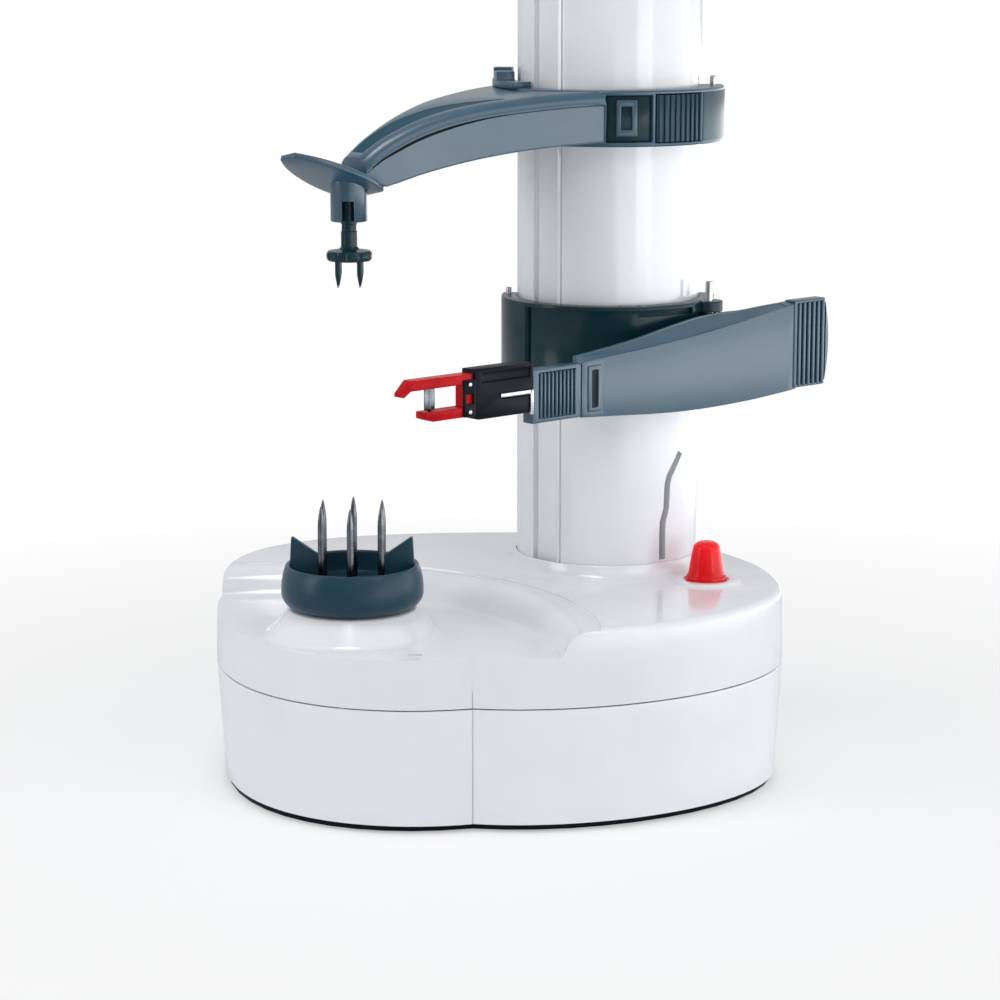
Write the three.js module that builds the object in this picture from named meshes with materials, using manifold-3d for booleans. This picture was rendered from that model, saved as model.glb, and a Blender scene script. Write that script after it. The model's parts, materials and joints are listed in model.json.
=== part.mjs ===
// An electric rotary peeler: a motor base with a spiked turntable, a fixed column, a blade
// carriage with a sprung peeling lever, and a sliding upper arm with a free-turning spindle.
// Millimetres, +Z up. X runs to the right of the front, Y runs to the back.

import * as THREE from "three";
import { mergeVertices } from "three/addons/utils/BufferGeometryUtils.js";
import Module from "manifold-3d";

// Overall places, measured from the front crease of the base at floor level

const turntableX = -52.6;
const turntableY = 41.5;
const columnX = 40.5;
const columnY = 118;
const idlerX = 10.6;
const idlerY = 62.1;
const buttonX = 76.4;
const buttonY = 83.3;

// Clearances

const seatGap = 0.3;
const runningGap = 0.3;
const slideGap = 0.4;
const overrun = 5;

// Base outline at its widest, as the corners and handles of its curves

const creaseX = -9.5;
const creaseY = 2.5;
const sideRightX = 104.5;
const sideRightY = 80;
const backX = 5;
const backY = 175;
const sideLeftX = -105;
const sideLeftY = 104;
const shoulderLeftX = -105.5;
const shoulderLeftY = 92;
const frontRightHandleX = 38;
const frontRightHandleY = -7;
const cheekRightHandleY = 30;
const rearRightHandleY = 128;
const rearRightHandleX = 70;
const rearLeftHandleX = -58;
const rearLeftHandleY = 160;
const cheekLeftHandleY = 18;
const frontLeftHandleX = -55;
const frontLeftHandleY = -11;

// Base levels

const coverBottom = 0.8;
const coverThick = 1.9;
const coverTop = coverBottom + coverThick;
const shellBottom = coverTop + seatGap;
const seamLevel = 45;
const trayRise = 18;
const trayLevel = seamLevel + trayRise;
const trayDepth = 9.5;
const deckLevel = trayLevel + trayDepth;
const shellWall = 2.5;
const shellDraft = 2.4;
const coverInset = 3.4;
const seamGroove = 0.7;
const rimRound = 2.6;
const upperDraft = 0.5;

// Juice tray sunk in the deck, as two leaning circles

const trayFootX = -80.5;
const trayFootY = 0.5;
const trayFootRadius = 103;
const trayTopX = -78;
const trayTopY = 5;
const trayTopRadius = 113;
const drainX = -29.4;
const drainY = 7.4;
const drainWide = 5;
const drainDeep = 1.2;

// Pedestal, turntable cup and prongs

const pedestalFootRadius = 29.3;
const pedestalTopRadius = 22.5;
const cupRadius = 25.4;
const cupFootRadius = 20.4;
const cupHeight = 15.4;
const cupRim = 1.8;
const cupLean = 1.6;
const cupFloorRise = 7;
const cupRound = 5.5;
const finPeakRadius = 21;
const finPeakRise = 10;
const finInnerRadius = 9.6;
const finInnerRise = 2.1;
const finOuterRadius = 22.6;
const finThickness = 2.6;
const prongCount = 6;
const prongRadius = 1.25;
const prongCircle = 12.2;
const prongReach = 37.2;
const prongPoint = 6;
const prongSeat = 2.2;
const cupBottom = deckLevel + runningGap;
const prongLevel = cupBottom + prongReach;

// Shafts and gears

const gearModule = 2;
const turntableTeeth = 30;
const screwTeeth = 30;
const idlerTeeth = 32;
const pinionTeeth = 10;
const gearAddendumShare = 0.88;
const gearDedendumShare = 1.18;
const gearBacklashShare = 0.09;
const pressureAngle = 20;
const plateDrop = 3.3;
const plateThick = 2.5;
const gearLift = 1.8;
const gearThick = 5;
const gearHub = 3;
const hubRadius = 8;
const shaftRadius = 4;
const axleRadius = 3;
const motorShaftRadius = 1.5;
const gearPlateBottom = seamLevel - plateDrop;
const gearPlateTop = gearPlateBottom + plateThick;
const gearBottom = gearPlateTop + gearLift;
const shaftReach = 4.7;
const shaftFoot = gearPlateBottom - shaftReach;

// Motor

const motorRadius = 14;
const motorBossRadius = 5;
const motorBoss = 1.6;
const motorFoot = 8.5;
const pinionAngle = -62;

// Column

const columnRadius = 34;
const columnWall = 2.5;
const columnTall = 217.5;
const columnTop = deckLevel + columnTall;
const capRise = 10;
const capTop = columnTop + capRise;
const capSpigot = 7;
const capEdgeShare = 0.35;
const capFlatShare = 0.67;
const flangeWide = 4;
const flangeRadius = columnRadius + flangeWide;
const flangeThick = 3;
const plinthWide = 6;
const plinthRadius = columnRadius + plinthWide;
const plinthHeight = 5.5;
const plinthShare = 0.7;
const channelWidth = 9.6;
const channelDepth = 2.4;
const channelAngle = -137;
const driveSlotWidth = 6;
const driveSlotLift = 25.5;
const driveSlotBottom = deckLevel + driveSlotLift;
const driveSlotTall = 106;
const driveSlotTop = driveSlotBottom + driveSlotTall;
const driveSlotAngle = 90;
const camSlotWidth = 2.8;
const camSlotRises = [7.5, 22.5, 24.5, 37.5, 45.5];
const camSlotLevels = camSlotRises.map((rise) => deckLevel + rise);
const camSlotAngles = [-48.5, -48.5, -45, -45, -34.5];
const screwRadius = 4;
const screwTip = 2;
const screwDrop = 10;
const screwTop = columnTop - screwDrop;
const screwTipLength = 8;

// Start button, its switch and the power inlet

const buttonRadius = 6.75;
const buttonTopRadius = 5;
const buttonFlangeRadius = 7.5;
const buttonFlange = 2;
const buttonRise = 15;
const buttonTop = deckLevel + buttonRise;
const buttonStroke = 2.2;
const buttonStem = 2.4;
const buttonDomeShare = 0.65;
const ringRadius = 13;
const ringRise = 1;
const switchWidth = 13;
const switchDepth = 8;
const springRadius = 4.4;
const springWire = 0.45;
const springTurns = 4;
const springHeight = 5;
const jackX = 5;
const jackLevel = 22;
const jackBody = 11;
const jackLength = 13;
const jackBarrel = 4.5;
const jackBore = 2.6;
const jackReach = 6;

// Blade carriage on the column

const carriageLift = 74.5;
const carriageTall = 28;
const carriageBottom = deckLevel + carriageLift;
const carriageTop = carriageBottom + carriageTall;
const columnGap = 0.35;
const carriageBore = columnRadius + columnGap;
const carriageWall = 5.65;
const carriageRadius = carriageBore + carriageWall;
const carriageDip = 1.8;
const carriageRim = 1.6;
const carriageDipStart = -141;
const carriageDipEnd = -41;
const topPlate = 4;
const splitLine = 6;
const yokeStep = 0.6;
const yokeRadius = carriageRadius - yokeStep;
const yokeInset = 2;
const yokeEndAngle = 1;
const pinOut = 7.14;
const pinAngle = -26.88;
const pinX = (columnRadius + pinOut) * Math.cos(THREE.MathUtils.degToRad(pinAngle));
const pinY = (columnRadius + pinOut) * Math.sin(THREE.MathUtils.degToRad(pinAngle));
const lugRadius = 4.3;
const lugTall = 15;
const lugTop = carriageBottom + lugTall;
const earRadius = 5.2;
const pinRadius = 1.4;
const pinDrop = 5.8;
const pinFoot = carriageBottom - pinDrop;
const pinRise = 7;
const yokePinInset = 2.8;
const yokePinX = yokePinInset - carriageRadius;
const yokePinY = 2.6;
const yokePinRadius = 1.1;
const nutRadius = 9;
const nutHeight = 14;
const nutLevel = (carriageBottom + carriageTop) / 2;
const nutTab = 5;

// Peeling lever, in its own frame: x along the lever, y towards the column

const leverAngle = 41.7;
const leverLeft = -55.9;
const leverRight = 70.5;
const leverDrop = 7;
const leverBottom = carriageBottom - leverDrop;
const leverSkin = 2.2;
const leverDepth = 5;
const leverFace = carriageRadius + leverDepth + slideGap;
const leverTalls = [19.6, 21.4, 23.9, 27.2, 30.2, 32];
const leverRise = leverTalls.map((tall) => leverBottom + tall);
const leverRiseShares = [0, 0.22, 0.45, 0.66, 0.82, 0.93];
const leverSags = [0.3, 2.9, 3.7, 3.3, 2.2, 1];
const bevelRises = [1.8, 3.2, 5.4, 3.2, 1.6, 0.4];
const bevelBack = 3.6;
const leverEar = 4;
const upperEar = 3;
const padLong = 15.5;
const padLeft = leverRight - padLong;
const padRibs = 6;
const padRibWidth = 1.5;
const padRibHeight = 0.9;
const padBulge = 2.4;
const windowInset = 4.4;
const windowLeft = leverLeft + windowInset;
const windowWide = 3.5;
const windowLift = 2.6;
const windowBottom = leverBottom + windowLift;
const windowTall = 14;
const swingIn = 10;
const coilRadius = 2.6;
const coilWire = 0.4;
const coilTurns = 3;
const coilHeight = 3;

// Blade cartridge on the lever's front end

const clampLong = 23.4;
const clampLeft = leverLeft - seatGap - clampLong;
const clampTall = 19.2;
const clampTop = leverBottom + clampTall;
const clampRibs = 3;
const clampRib = 0.6;
const carrierLong = 27.1;
const carrierLeft = clampLeft - seatGap - carrierLong;
const carrierLift = 4.5;
const carrierBottom = leverBottom + carrierLift;
const carrierTall = 17.5;
const carrierTop = carrierBottom + carrierTall;
const carrierThick = 7;
const carrierSlot = 1.6;
const carrierLip = 7.9;
const carrierSplit = carrierBottom + carrierLip;
const carrierJaw = 12;
const carrierSlotLeft = carrierLeft + carrierJaw;
const forkLong = 31;
const forkLeft = carrierLeft - forkLong;
const forkLowerLong = 21.5;
const forkLowerLeft = carrierLeft - forkLowerLong;
const forkThick = 5.4;
const forkLift = 1.4;
const forkTall = 14.8;
const forkUpperTall = 3.4;
const forkLowerTall = 3.5;
const forkBottom = carrierBottom + forkLift;
const forkTop = forkBottom + forkTall;
const forkUpper = forkTop - forkUpperTall;
const forkLower = forkBottom + forkLowerTall;
const forkTipDrop = 4.2;
const bladeReach = 17.6;
const bladePivotX = carrierLeft - bladeReach;
const bladePin = 0.7;
const bladeWide = 4.6;
const bladeThick = 0.7;

// Upper arm, in its own frame: x from the column towards the turntable's axis

const collarLift = 160.5;
const collarTall = 20;
const collarBottom = deckLevel + collarLift;
const collarTop = collarBottom + collarTall;
const collarWall = 8.25;
const collarRadius = carriageBore + collarWall;
const collarYokeStep = 1.2;
const collarYokeRadius = collarRadius - collarYokeStep;
const collarYokeInset = 1.6;
const collarPinInset = 4.2;
const collarPinX = collarPinInset - collarRadius;
const collarPinRadius = 1.2;
const collarPinRise = 3.5;
const collarLugRise = 3;
const collarLugStart = 160;
const collarLugEnd = 206;
const armAngle = THREE.MathUtils.radToDeg(Math.atan2(turntableY - columnY, turntableX - columnX));
const armReach = Math.hypot(turntableX - columnX, turntableY - columnY);
const armStationShares = [0.2157, 0.3484, 0.4978, 0.6472, 0.7882, 0.9127, 0.9832];
const armStations = armStationShares.map((share) => armReach * share);
const armHalfWidths = [33.6, 28.6, 22.6, 16.6, 11.6, 8.8, 7.6];
const armSideRises = [15, 13.6, 11, 7.6, 3.4, -1.6, -5.4];
const armCrownRises = [20, 19.2, 16.8, 13.4, 8.6, 2.6, -2];
const armBottomRises = [2, 1.2, -0.4, -3.2, -7, -11, -12];
const armGrooves = [0, 0, 0.8, 1.5, 1.7, 1.5, 1.2];
const armSkin = 2.4;
const armHollowStartShare = 0.3817;
const armHollowEndShare = 0.8629;
const crownShare = 0.56;
const grooveShare = 0.3;
const socketRadius = 6.4;
const socketMouth = 4.2;
const tabRoot = 7.92;
const tabStart = armReach - tabRoot;
const tabLength = 37;
const tabHalf = 12.4;
const tabEndHalf = 5.5;
const tabThick = 2;
const tabSlope = 19;
const tabDrop = 12.4;
const tabLevel = collarBottom - tabDrop;
const tabRootShare = 0.7;
const tabWideShare = 0.3;
const tabWaistShare = 0.7;
const tabWaistWidthShare = 0.85;
const socketDrop = 10.6;
const socketBottom = tabLevel - socketDrop;
const spindleRadius = 2.85;
const spindleGap = 0.45;
const socketBore = spindleRadius + spindleGap;
const spindleDip = 1.2;
const spindleTop = tabLevel - spindleDip;
const spindleDrop = 10;
const spindleHeadTop = socketBottom - spindleDrop;
const spindleHeadRadius = 8;
const spindleHead = 4;
const spikeCount = 4;
const spikeRadius = 1;
const spikeCircle = 5.4;
const spikeReach = 13;
const spikeBottom = spindleHeadTop - spikeReach;

// Release grip in the collar

const gripStart = -69;
const gripEnd = -40;
const gripDeep = 4.2;
const gripInner = collarRadius - gripDeep;
const gripProud = 0.9;
const gripOuter = collarRadius + gripProud;
const gripRibs = 9;
const gripRib = 0.8;
const gripInset = 1.6;
const gripStroke = 1.5;
const pocketInner = gripInner - gripStroke - slideGap;
const frameStart = -88.5;
const frameEnd = -77.5;
const frameInset = 2.4;
const frameDepth = 0.8;

// Feet

const footRadius = 8;
const footSunk = 0.9;
const footHeight = coverBottom + footSunk;
const footX = [-74, -62, 62, 64];
const footY = [42, 134, 138, 42];

// Posts of the bottom cover

const screwPostRadius = 4;
const screwPostX = [-88, -44, 88, -24];
const screwPostY = [70, 152, 94, 13];
const platePostRadius = 3.4;
const platePostX = [-22, 66, -8];
const platePostY = [98, 66, 30];
const boardX = -52;
const boardY = 96;
const boardWide = 40;
const boardDeep = 24;
const boardThick = 1.6;
const boardLevel = 6;
const boardPost = 2.4;
const boardPostShare = 0.4;

// Facet counts

const outlineSteps = 13;
const roundSides = 44;
const smallSides = 16;
const tinySides = 8;
const traySides = 68;
const wireSides = 5;
const wireSteps = 6;
const recessSteps = 3;

const wasm = await Module();
wasm.setup();

const radians = THREE.MathUtils.degToRad;
const degrees = THREE.MathUtils.radToDeg;
const vec2 = (x, y) => new THREE.Vector2(x, y);
const polar = (radius, angle) => vec2(radius * Math.cos(radians(angle)), radius * Math.sin(radians(angle)));

// Solids: a closed three.js geometry becomes a manifold for cuts and joins, and comes back as a geometry

function solid(geometry) {
  const bare = geometry.clone();
  bare.deleteAttribute("normal");
  bare.deleteAttribute("uv");
  const merged = mergeVertices(bare);
  const vertProperties = merged.attributes.position.array;
  const triVerts = new Uint32Array(merged.index.array);
  const body = new wasm.Manifold(new wasm.Mesh({ numProp: 3, vertProperties, triVerts }));
  if (body.volume() > 0) {
    return body;
  }
  for (let i = 0; i < triVerts.length; i += 3) {
    [triVerts[i], triVerts[i + 1]] = [triVerts[i + 1], triVerts[i]];
  }
  return new wasm.Manifold(new wasm.Mesh({ numProp: 3, vertProperties, triVerts }));
}

function geometryOf(body) {
  const mesh = body.getMesh();
  const geometry = new THREE.BufferGeometry();
  geometry.setAttribute("position", new THREE.BufferAttribute(mesh.vertProperties, mesh.numProp));
  geometry.setIndex(new THREE.BufferAttribute(mesh.triVerts, 1));
  const faceted = geometry.toNonIndexed();
  faceted.computeVertexNormals();
  return faceted;
}

function joined(bodies) {
  return bodies.reduce((sum, body) => sum.add(body));
}

// Outlines, prisms and lofts

function arc(radius, from, to, steps, x = 0, y = 0) {
  const points = [];
  for (let i = 0; i <= steps; i++) {
    const point = polar(radius, from + ((to - from) * i) / steps);
    points.push(vec2(point.x + x, point.y + y));
  }
  return points;
}

function ring(radius, sides, x = 0, y = 0) {
  return arc(radius, 0, 360, sides, x, y).slice(0, sides);
}

function prism(points, bottom, top, holes = []) {
  const shape = new THREE.Shape(points);
  shape.holes = holes.map((hole) => new THREE.Path(hole));
  const geometry = new THREE.ExtrudeGeometry(shape, { depth: top - bottom, bevelEnabled: false });
  return solid(geometry.translate(0, 0, bottom));
}

function rod(radius, bottom, top, x = 0, y = 0, sides = smallSides) {
  return prism(ring(radius, sides, x, y), bottom, top);
}

function block(left, right, front, back, bottom, top) {
  return prism([vec2(left, front), vec2(right, front), vec2(right, back), vec2(left, back)], bottom, top);
}

// A prism whose outline lies in the x-z plane, from one y to another
function sidePrism(points, front, back, holes = []) {
  const shape = new THREE.Shape(points);
  shape.holes = holes.map((hole) => new THREE.Path(hole));
  const geometry = new THREE.ExtrudeGeometry(shape, { depth: back - front, bevelEnabled: false });
  return solid(geometry.rotateX(Math.PI / 2).translate(0, back, 0));
}

function turned(profile, sides = roundSides, x = 0, y = 0) {
  const points = profile.map(([radius, level]) => vec2(radius, level));
  return solid(new THREE.LatheGeometry(points, sides).rotateX(Math.PI / 2).translate(x, y, 0));
}

function capFaces(loop) {
  const normal = new THREE.Vector3();
  loop.forEach((point, i) => normal.add(point.clone().cross(loop[(i + 1) % loop.length])));
  normal.normalize();
  const across = loop[1].clone().sub(loop[0]).normalize();
  const up = normal.clone().cross(across);
  return THREE.ShapeUtils.triangulateShape(loop.map((p) => vec2(p.dot(across), p.dot(up))), []);
}

// A closed skin through loops of equally many points
function loft(loops) {
  const count = loops[0].length;
  const positions = loops.flat().flatMap((point) => [point.x, point.y, point.z]);
  const faces = [];
  for (let row = 0; row + 1 < loops.length; row++) {
    for (let i = 0; i < count; i++) {
      const a = row * count + i;
      const b = row * count + ((i + 1) % count);
      faces.push(a, b, b + count, a, b + count, a + count);
    }
  }
  const last = (loops.length - 1) * count;
  capFaces(loops[0]).forEach(([a, b, c]) => faces.push(c, b, a));
  capFaces(loops[loops.length - 1]).forEach(([a, b, c]) => faces.push(last + a, last + b, last + c));
  const geometry = new THREE.BufferGeometry();
  geometry.setAttribute("position", new THREE.Float32BufferAttribute(positions, 3));
  geometry.setIndex(faces);
  return solid(geometry);
}

function levelLoop(points, level) {
  return points.map((point) => new THREE.Vector3(point.x, point.y, level));
}

function inset(points, distance) {
  return points.map((point, i) => {
    const before = points[(i + points.length - 1) % points.length];
    const after = points[(i + 1) % points.length];
    const first = point.clone().sub(before).normalize();
    const second = after.clone().sub(point).normalize();
    const normal = vec2(-first.y - second.y, first.x + second.x).normalize();
    const lean = Math.max(normal.dot(vec2(-first.y, first.x)), 1 / 2);
    return point.clone().addScaledVector(normal, distance / lean);
  });
}

function stack(points, levels) {
  return loft(levels.map(([level, distance]) => levelLoop(inset(points, distance), level)));
}

function helixRod(radius, wire, turns, bottom, height) {
  const path = new THREE.Curve();
  path.getPoint = (t, target = new THREE.Vector3()) => {
    const angle = t * turns * 2 * Math.PI;
    return target.set(radius * Math.cos(angle), radius * Math.sin(angle), bottom + height * t);
  };
  const section = new THREE.Shape(ring(wire, wireSides));
  const options = { steps: wireSteps * turns, extrudePath: path, bevelEnabled: false };
  return solid(new THREE.ExtrudeGeometry(section, options));
}

// Base outline

function baseOutline() {
  const crease = vec2(creaseX, creaseY);
  const right = vec2(sideRightX, sideRightY);
  const back = vec2(backX, backY);
  const left = vec2(sideLeftX, sideLeftY);
  const shoulder = vec2(shoulderLeftX, shoulderLeftY);
  const corners = [
    [crease, vec2(frontRightHandleX, frontRightHandleY), vec2(sideRightX, cheekRightHandleY), right],
    [right, vec2(sideRightX, rearRightHandleY), vec2(rearRightHandleX, backY), back],
    [back, vec2(rearLeftHandleX, backY), vec2(sideLeftX, rearLeftHandleY), left],
    [shoulder, vec2(shoulderLeftX, cheekLeftHandleY), vec2(frontLeftHandleX, frontLeftHandleY), crease],
  ];
  return corners.flatMap((points) => new THREE.CubicBezierCurve(...points).getPoints(outlineSteps).slice(0,
    -1));
}

const outline = baseOutline();

// Feet and bottom cover

function foot(i) {
  const profile = [[0, 0], [footRadius - seatGap, 0], [footRadius, seatGap], [footRadius, footHeight],
    [0, footHeight]];
  return turned(profile, smallSides, footX[i], footY[i]);
}

function bottomCover() {
  const post = (radius, xs, ys, top) => xs.map((x, i) => rod(radius, coverTop - seatGap, top, x, ys[i],
    tinySides));
  const boardPosts = [-1, 1].map((side) =>
    rod(boardPost, coverTop - seatGap, boardLevel - seatGap, boardX + side * boardWide * boardPostShare,
      boardY, tinySides));
  const pockets = footX.map((x, i) =>
    rod(footRadius + seatGap, coverBottom - overrun, footHeight + seatGap, x, footY[i]));
  const jackRest = block(jackX - jackBody / 2, jackX + jackBody / 2, jackBack() - jackLength,
    jackBack() - jackLength / 2,
    coverTop - seatGap, jackLevel - jackBody / 2 - seatGap);
  const motorRest = rod(motorRadius / 2, coverTop - seatGap, motorFoot - seatGap, pinionPlace().x,
    pinionPlace().y);
  const plate = stack(outline, [[coverBottom, coverInset], [coverTop, coverInset]]);
  const posts = [
    ...post(screwPostRadius, screwPostX, screwPostY, trayLevel - shellWall - seatGap),
    ...post(platePostRadius, platePostX, platePostY, gearPlateBottom - seatGap),
  ];
  return joined([plate, ...posts, ...boardPosts, jackRest, motorRest]).subtract(joined(pockets));
}

// Shells

function lowerShell() {
  const outside = stack(outline, [
    [shellBottom, shellDraft], [seamLevel - seatGap - seamGroove, 0], [seamLevel - seatGap, seamGroove],
  ]);
  const inside = stack(outline, [
    [shellBottom - overrun, shellDraft + shellWall], [seamLevel + overrun, shellWall],
  ]);
  const hole = rod(jackBarrel + seatGap, jackBack() - overrun, backY + overrun).rotate([-90, 0, 0])
    .translate([jackX, 0, jackLevel]);
  return outside.subtract(inside).subtract(hole);
}

function jackBack() {
  return backY - shellDraft - shellWall - seatGap * 2;
}

function trayTool(grow) {
  const loops = [];
  const over = (deckLevel + overrun - trayLevel) / (deckLevel - trayLevel);
  for (const share of [0, over]) {
    const x = trayFootX + (trayTopX - trayFootX) * share;
    const y = trayFootY + (trayTopY - trayFootY) * share;
    const radius = trayFootRadius + (trayTopRadius - trayFootRadius) * share + grow;
    loops.push(levelLoop(ring(radius, traySides, x, y),
      trayLevel + (deckLevel - trayLevel) * share - grow));
  }
  return loft(loops);
}

function rimLevels(top) {
  const lift = rimRound / 3;
  return [
    [seamLevel, seamGroove], [seamLevel + seamGroove, 0], [top - rimRound, upperDraft],
    [top - lift, upperDraft + lift], [top, upperDraft + rimRound],
  ];
}

function upperShell() {
  const low = stack(outline, rimLevels(trayLevel));
  const high = stack(outline, rimLevels(deckLevel)).subtract(trayTool(0));
  const lowRoom = stack(outline, [[seamLevel - overrun, shellWall],
    [trayLevel - shellWall, shellWall + upperDraft]]);
  const deckInset = shellWall + upperDraft + rimRound;
  const highRoom = stack(outline, [[seamLevel, deckInset], [deckLevel - shellWall, deckInset]])
    .subtract(trayTool(shellWall));
  const pedestal = turned([
    [0, trayLevel - shellWall / 2], [pedestalFootRadius, trayLevel - shellWall / 2],
    [pedestalFootRadius, trayLevel],
    [pedestalTopRadius, deckLevel], [0, deckLevel],
  ], roundSides, turntableX, turntableY);
  const step = plinthRadius - columnRadius;
  const plinth = turned([
    [0, deckLevel - shellWall / 2], [plinthRadius, deckLevel - shellWall / 2], [plinthRadius, deckLevel],
    [plinthRadius - step * plinthShare, deckLevel + plinthHeight * (1 - plinthShare)],
    [columnRadius + seatGap * 2, deckLevel + plinthHeight], [0, deckLevel + plinthHeight],
  ], roundSides, columnX, columnY);
  const buttonRing = turned([
    [0, deckLevel - shellWall / 2], [ringRadius, deckLevel - shellWall / 2], [ringRadius, deckLevel],
    [ringRadius - ringRise, deckLevel + ringRise], [0, deckLevel + ringRise],
  ], smallSides, buttonX, buttonY);
  const tall = plinthHeight + overrun;
  const holes = [
    rod(bushRadius() + seatGap, seamLevel, deckLevel + tall, turntableX, turntableY),
    rod(columnRadius + seatGap, seamLevel, deckLevel + tall, columnX, columnY, roundSides),
    rod(buttonFlangeRadius + runningGap, seamLevel, deckLevel + tall, buttonX, buttonY),
    block(drainX - drainWide / 2, drainX + drainWide / 2, drainY - drainWide / 4, drainY + drainWide / 4,
      trayLevel - drainDeep, deckLevel),
  ];
  const rooms = lowRoom.add(highRoom);
  return joined([low.add(high).subtract(rooms), pedestal, plinth, buttonRing]).subtract(joined(holes));
}

function bushRadius() {
  return shaftRadius + runningGap + shellWall;
}

function turntableBush() {
  const bore = ring(shaftRadius + runningGap, smallSides, turntableX, turntableY);
  return prism(ring(bushRadius(), smallSides, turntableX, turntableY),
    trayLevel - shellWall, deckLevel - seatGap, [bore]);
}

// Gears: involute flanks from root to tip, and the turn that puts a follower's gap on its driver's tooth

function gearOutline(teeth, turn) {
  const pitch = (gearModule * teeth) / 2;
  const radii = [pitch - gearModule * gearDedendumShare, pitch, pitch + gearModule * gearAddendumShare];
  const base = pitch * Math.cos(radians(pressureAngle));
  const involute = (radius) => {
    const angle = Math.acos(Math.min(1, base / radius));
    return Math.tan(angle) - angle;
  };
  const half = (radius) => (Math.PI / 2) * ((1 - gearBacklashShare * 2) / teeth) +
    involute(pitch) - involute(radius);
  const points = [];
  for (let tooth = 0; tooth < teeth; tooth++) {
    const middle = turn + (2 * Math.PI * tooth) / teeth;
    const flank = radii.map((radius) => [radius, half(radius)]);
    const rising = flank.map(([radius, angle]) => [radius, middle - angle]);
    const falling = flank.map(([radius, angle]) => [radius, middle + angle]).reverse();
    for (const [radius, angle] of [...rising, ...falling]) {
      points.push(vec2(radius * Math.cos(angle), radius * Math.sin(angle)));
    }
  }
  return points;
}

function meshTurn(driver, follower) {
  const toward = Math.atan2(follower.y - driver.y, follower.x - driver.x);
  const driverShare = ((toward - driver.turn) * driver.teeth) / (2 * Math.PI);
  return toward + Math.PI - ((2 * Math.PI) / follower.teeth) * (1 / 2 - driverShare);
}

function pinionPlace() {
  const reach = (gearModule * (idlerTeeth + pinionTeeth)) / 2;
  const place = polar(reach, pinionAngle);
  return vec2(idlerX + place.x, idlerY + place.y);
}

const turntableDrive = { x: turntableX, y: turntableY, teeth: turntableTeeth, turn: 0 };
const idlerDrive = { x: idlerX, y: idlerY, teeth: idlerTeeth, turn: 0 };
idlerDrive.turn = meshTurn(turntableDrive, idlerDrive);
const screwDrive = { x: columnX, y: columnY, teeth: screwTeeth, turn: 0 };
screwDrive.turn = meshTurn(idlerDrive, screwDrive);
const pinionDrive = { x: pinionPlace().x, y: pinionPlace().y, teeth: pinionTeeth, turn: 0 };
pinionDrive.turn = meshTurn(idlerDrive, pinionDrive);

function gear(drive, bore, hub = 0) {
  const wheel = prism(gearOutline(drive.teeth, drive.turn), gearBottom, gearBottom + gearThick);
  const body = hub ? wheel.add(rod(hubRadius, gearBottom, gearBottom + gearThick + hub)) : wheel;
  const top = gearBottom + gearThick + gearHub + overrun;
  return body.subtract(rod(bore, gearBottom - overrun, top));
}

function gearPlate() {
  const pinion = pinionPlace();
  const edge = [
    vec2(turntableX - hubRadius * 2, turntableY + hubRadius * 2),
    vec2(turntableX - hubRadius, turntableY - hubRadius * 2),
    vec2(platePostX[2] - hubRadius, platePostY[2] - hubRadius), vec2(pinion.x, pinion.y - motorRadius),
    vec2(buttonX + switchWidth, buttonY - switchWidth),
    vec2(buttonX + switchWidth / 2, buttonY + switchWidth),
    vec2(columnX + hubRadius, columnY + hubRadius), vec2(columnX - hubRadius * 2, columnY + hubRadius),
    vec2(platePostX[0] - hubRadius, platePostY[0] + hubRadius),
  ];
  const holes = [
    ring(shaftRadius + runningGap, smallSides, turntableX, turntableY),
    ring(screwRadius + runningGap, smallSides, columnX, columnY),
    ring(axleRadius + seatGap, smallSides, idlerX, idlerY),
    ring(motorBossRadius + seatGap, smallSides, pinion.x, pinion.y),
  ];
  return prism(edge, gearPlateBottom, gearPlateTop, holes);
}

function turntableShaft() {
  return rod(shaftRadius - runningGap, shaftFoot, cupBottom + cupFloorRise / 2);
}

function idlerAxle() {
  const head = axleRadius + shellWall / 2;
  const gearTop = gearBottom + gearThick;
  return turned([
    [0, gearPlateBottom - seatGap * 4], [head, gearPlateBottom - seatGap * 4],
    [head, gearPlateBottom - seatGap],
    [axleRadius, gearPlateBottom - seatGap], [axleRadius, gearTop + runningGap],
    [head, gearTop + runningGap],
    [head, gearTop + shellWall], [0, gearTop + shellWall],
  ], smallSides);
}

function motor() {
  const canTop = gearPlateBottom - seatGap;
  return turned([
    [0, motorFoot], [motorRadius - motorBoss, motorFoot], [motorRadius, motorFoot + motorBoss],
    [motorRadius, canTop - motorBoss], [motorRadius - motorBoss, canTop], [motorBossRadius, canTop],
    [motorBossRadius, canTop + motorBoss], [motorShaftRadius + seatGap, canTop + motorBoss],
    [motorShaftRadius + seatGap, canTop - motorBoss], [0, canTop - motorBoss],
  ], smallSides);
}

function motorPinion() {
  const tip = gearBottom + gearThick + gearHub;
  const shaft = rod(motorShaftRadius, gearPlateBottom - motorBoss, tip, 0, 0, tinySides);
  return prism(gearOutline(pinionTeeth, pinionDrive.turn), gearBottom, gearBottom + gearThick).add(shaft);
}

function circuitBoard() {
  return block(boardX - boardWide / 2, boardX + boardWide / 2, boardY - boardDeep / 2,
    boardY + boardDeep / 2,
    boardLevel, boardLevel + boardThick);
}

function powerInlet() {
  const back = jackBack();
  const half = jackBody / 2;
  const body = block(jackX - half, jackX + half, back - jackLength, back, jackLevel - half,
    jackLevel + half);
  const along = (piece) => piece.rotate([-90, 0, 0]).translate([jackX, 0, jackLevel]);
  const barrel = along(rod(jackBarrel, back - seatGap, back + jackReach - seatGap * 4));
  const bore = along(rod(jackBore, back - jackLength / 2, back + jackReach + overrun));
  return body.add(barrel).subtract(bore);
}

// Turntable cup with its two fins, and the prongs

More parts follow.
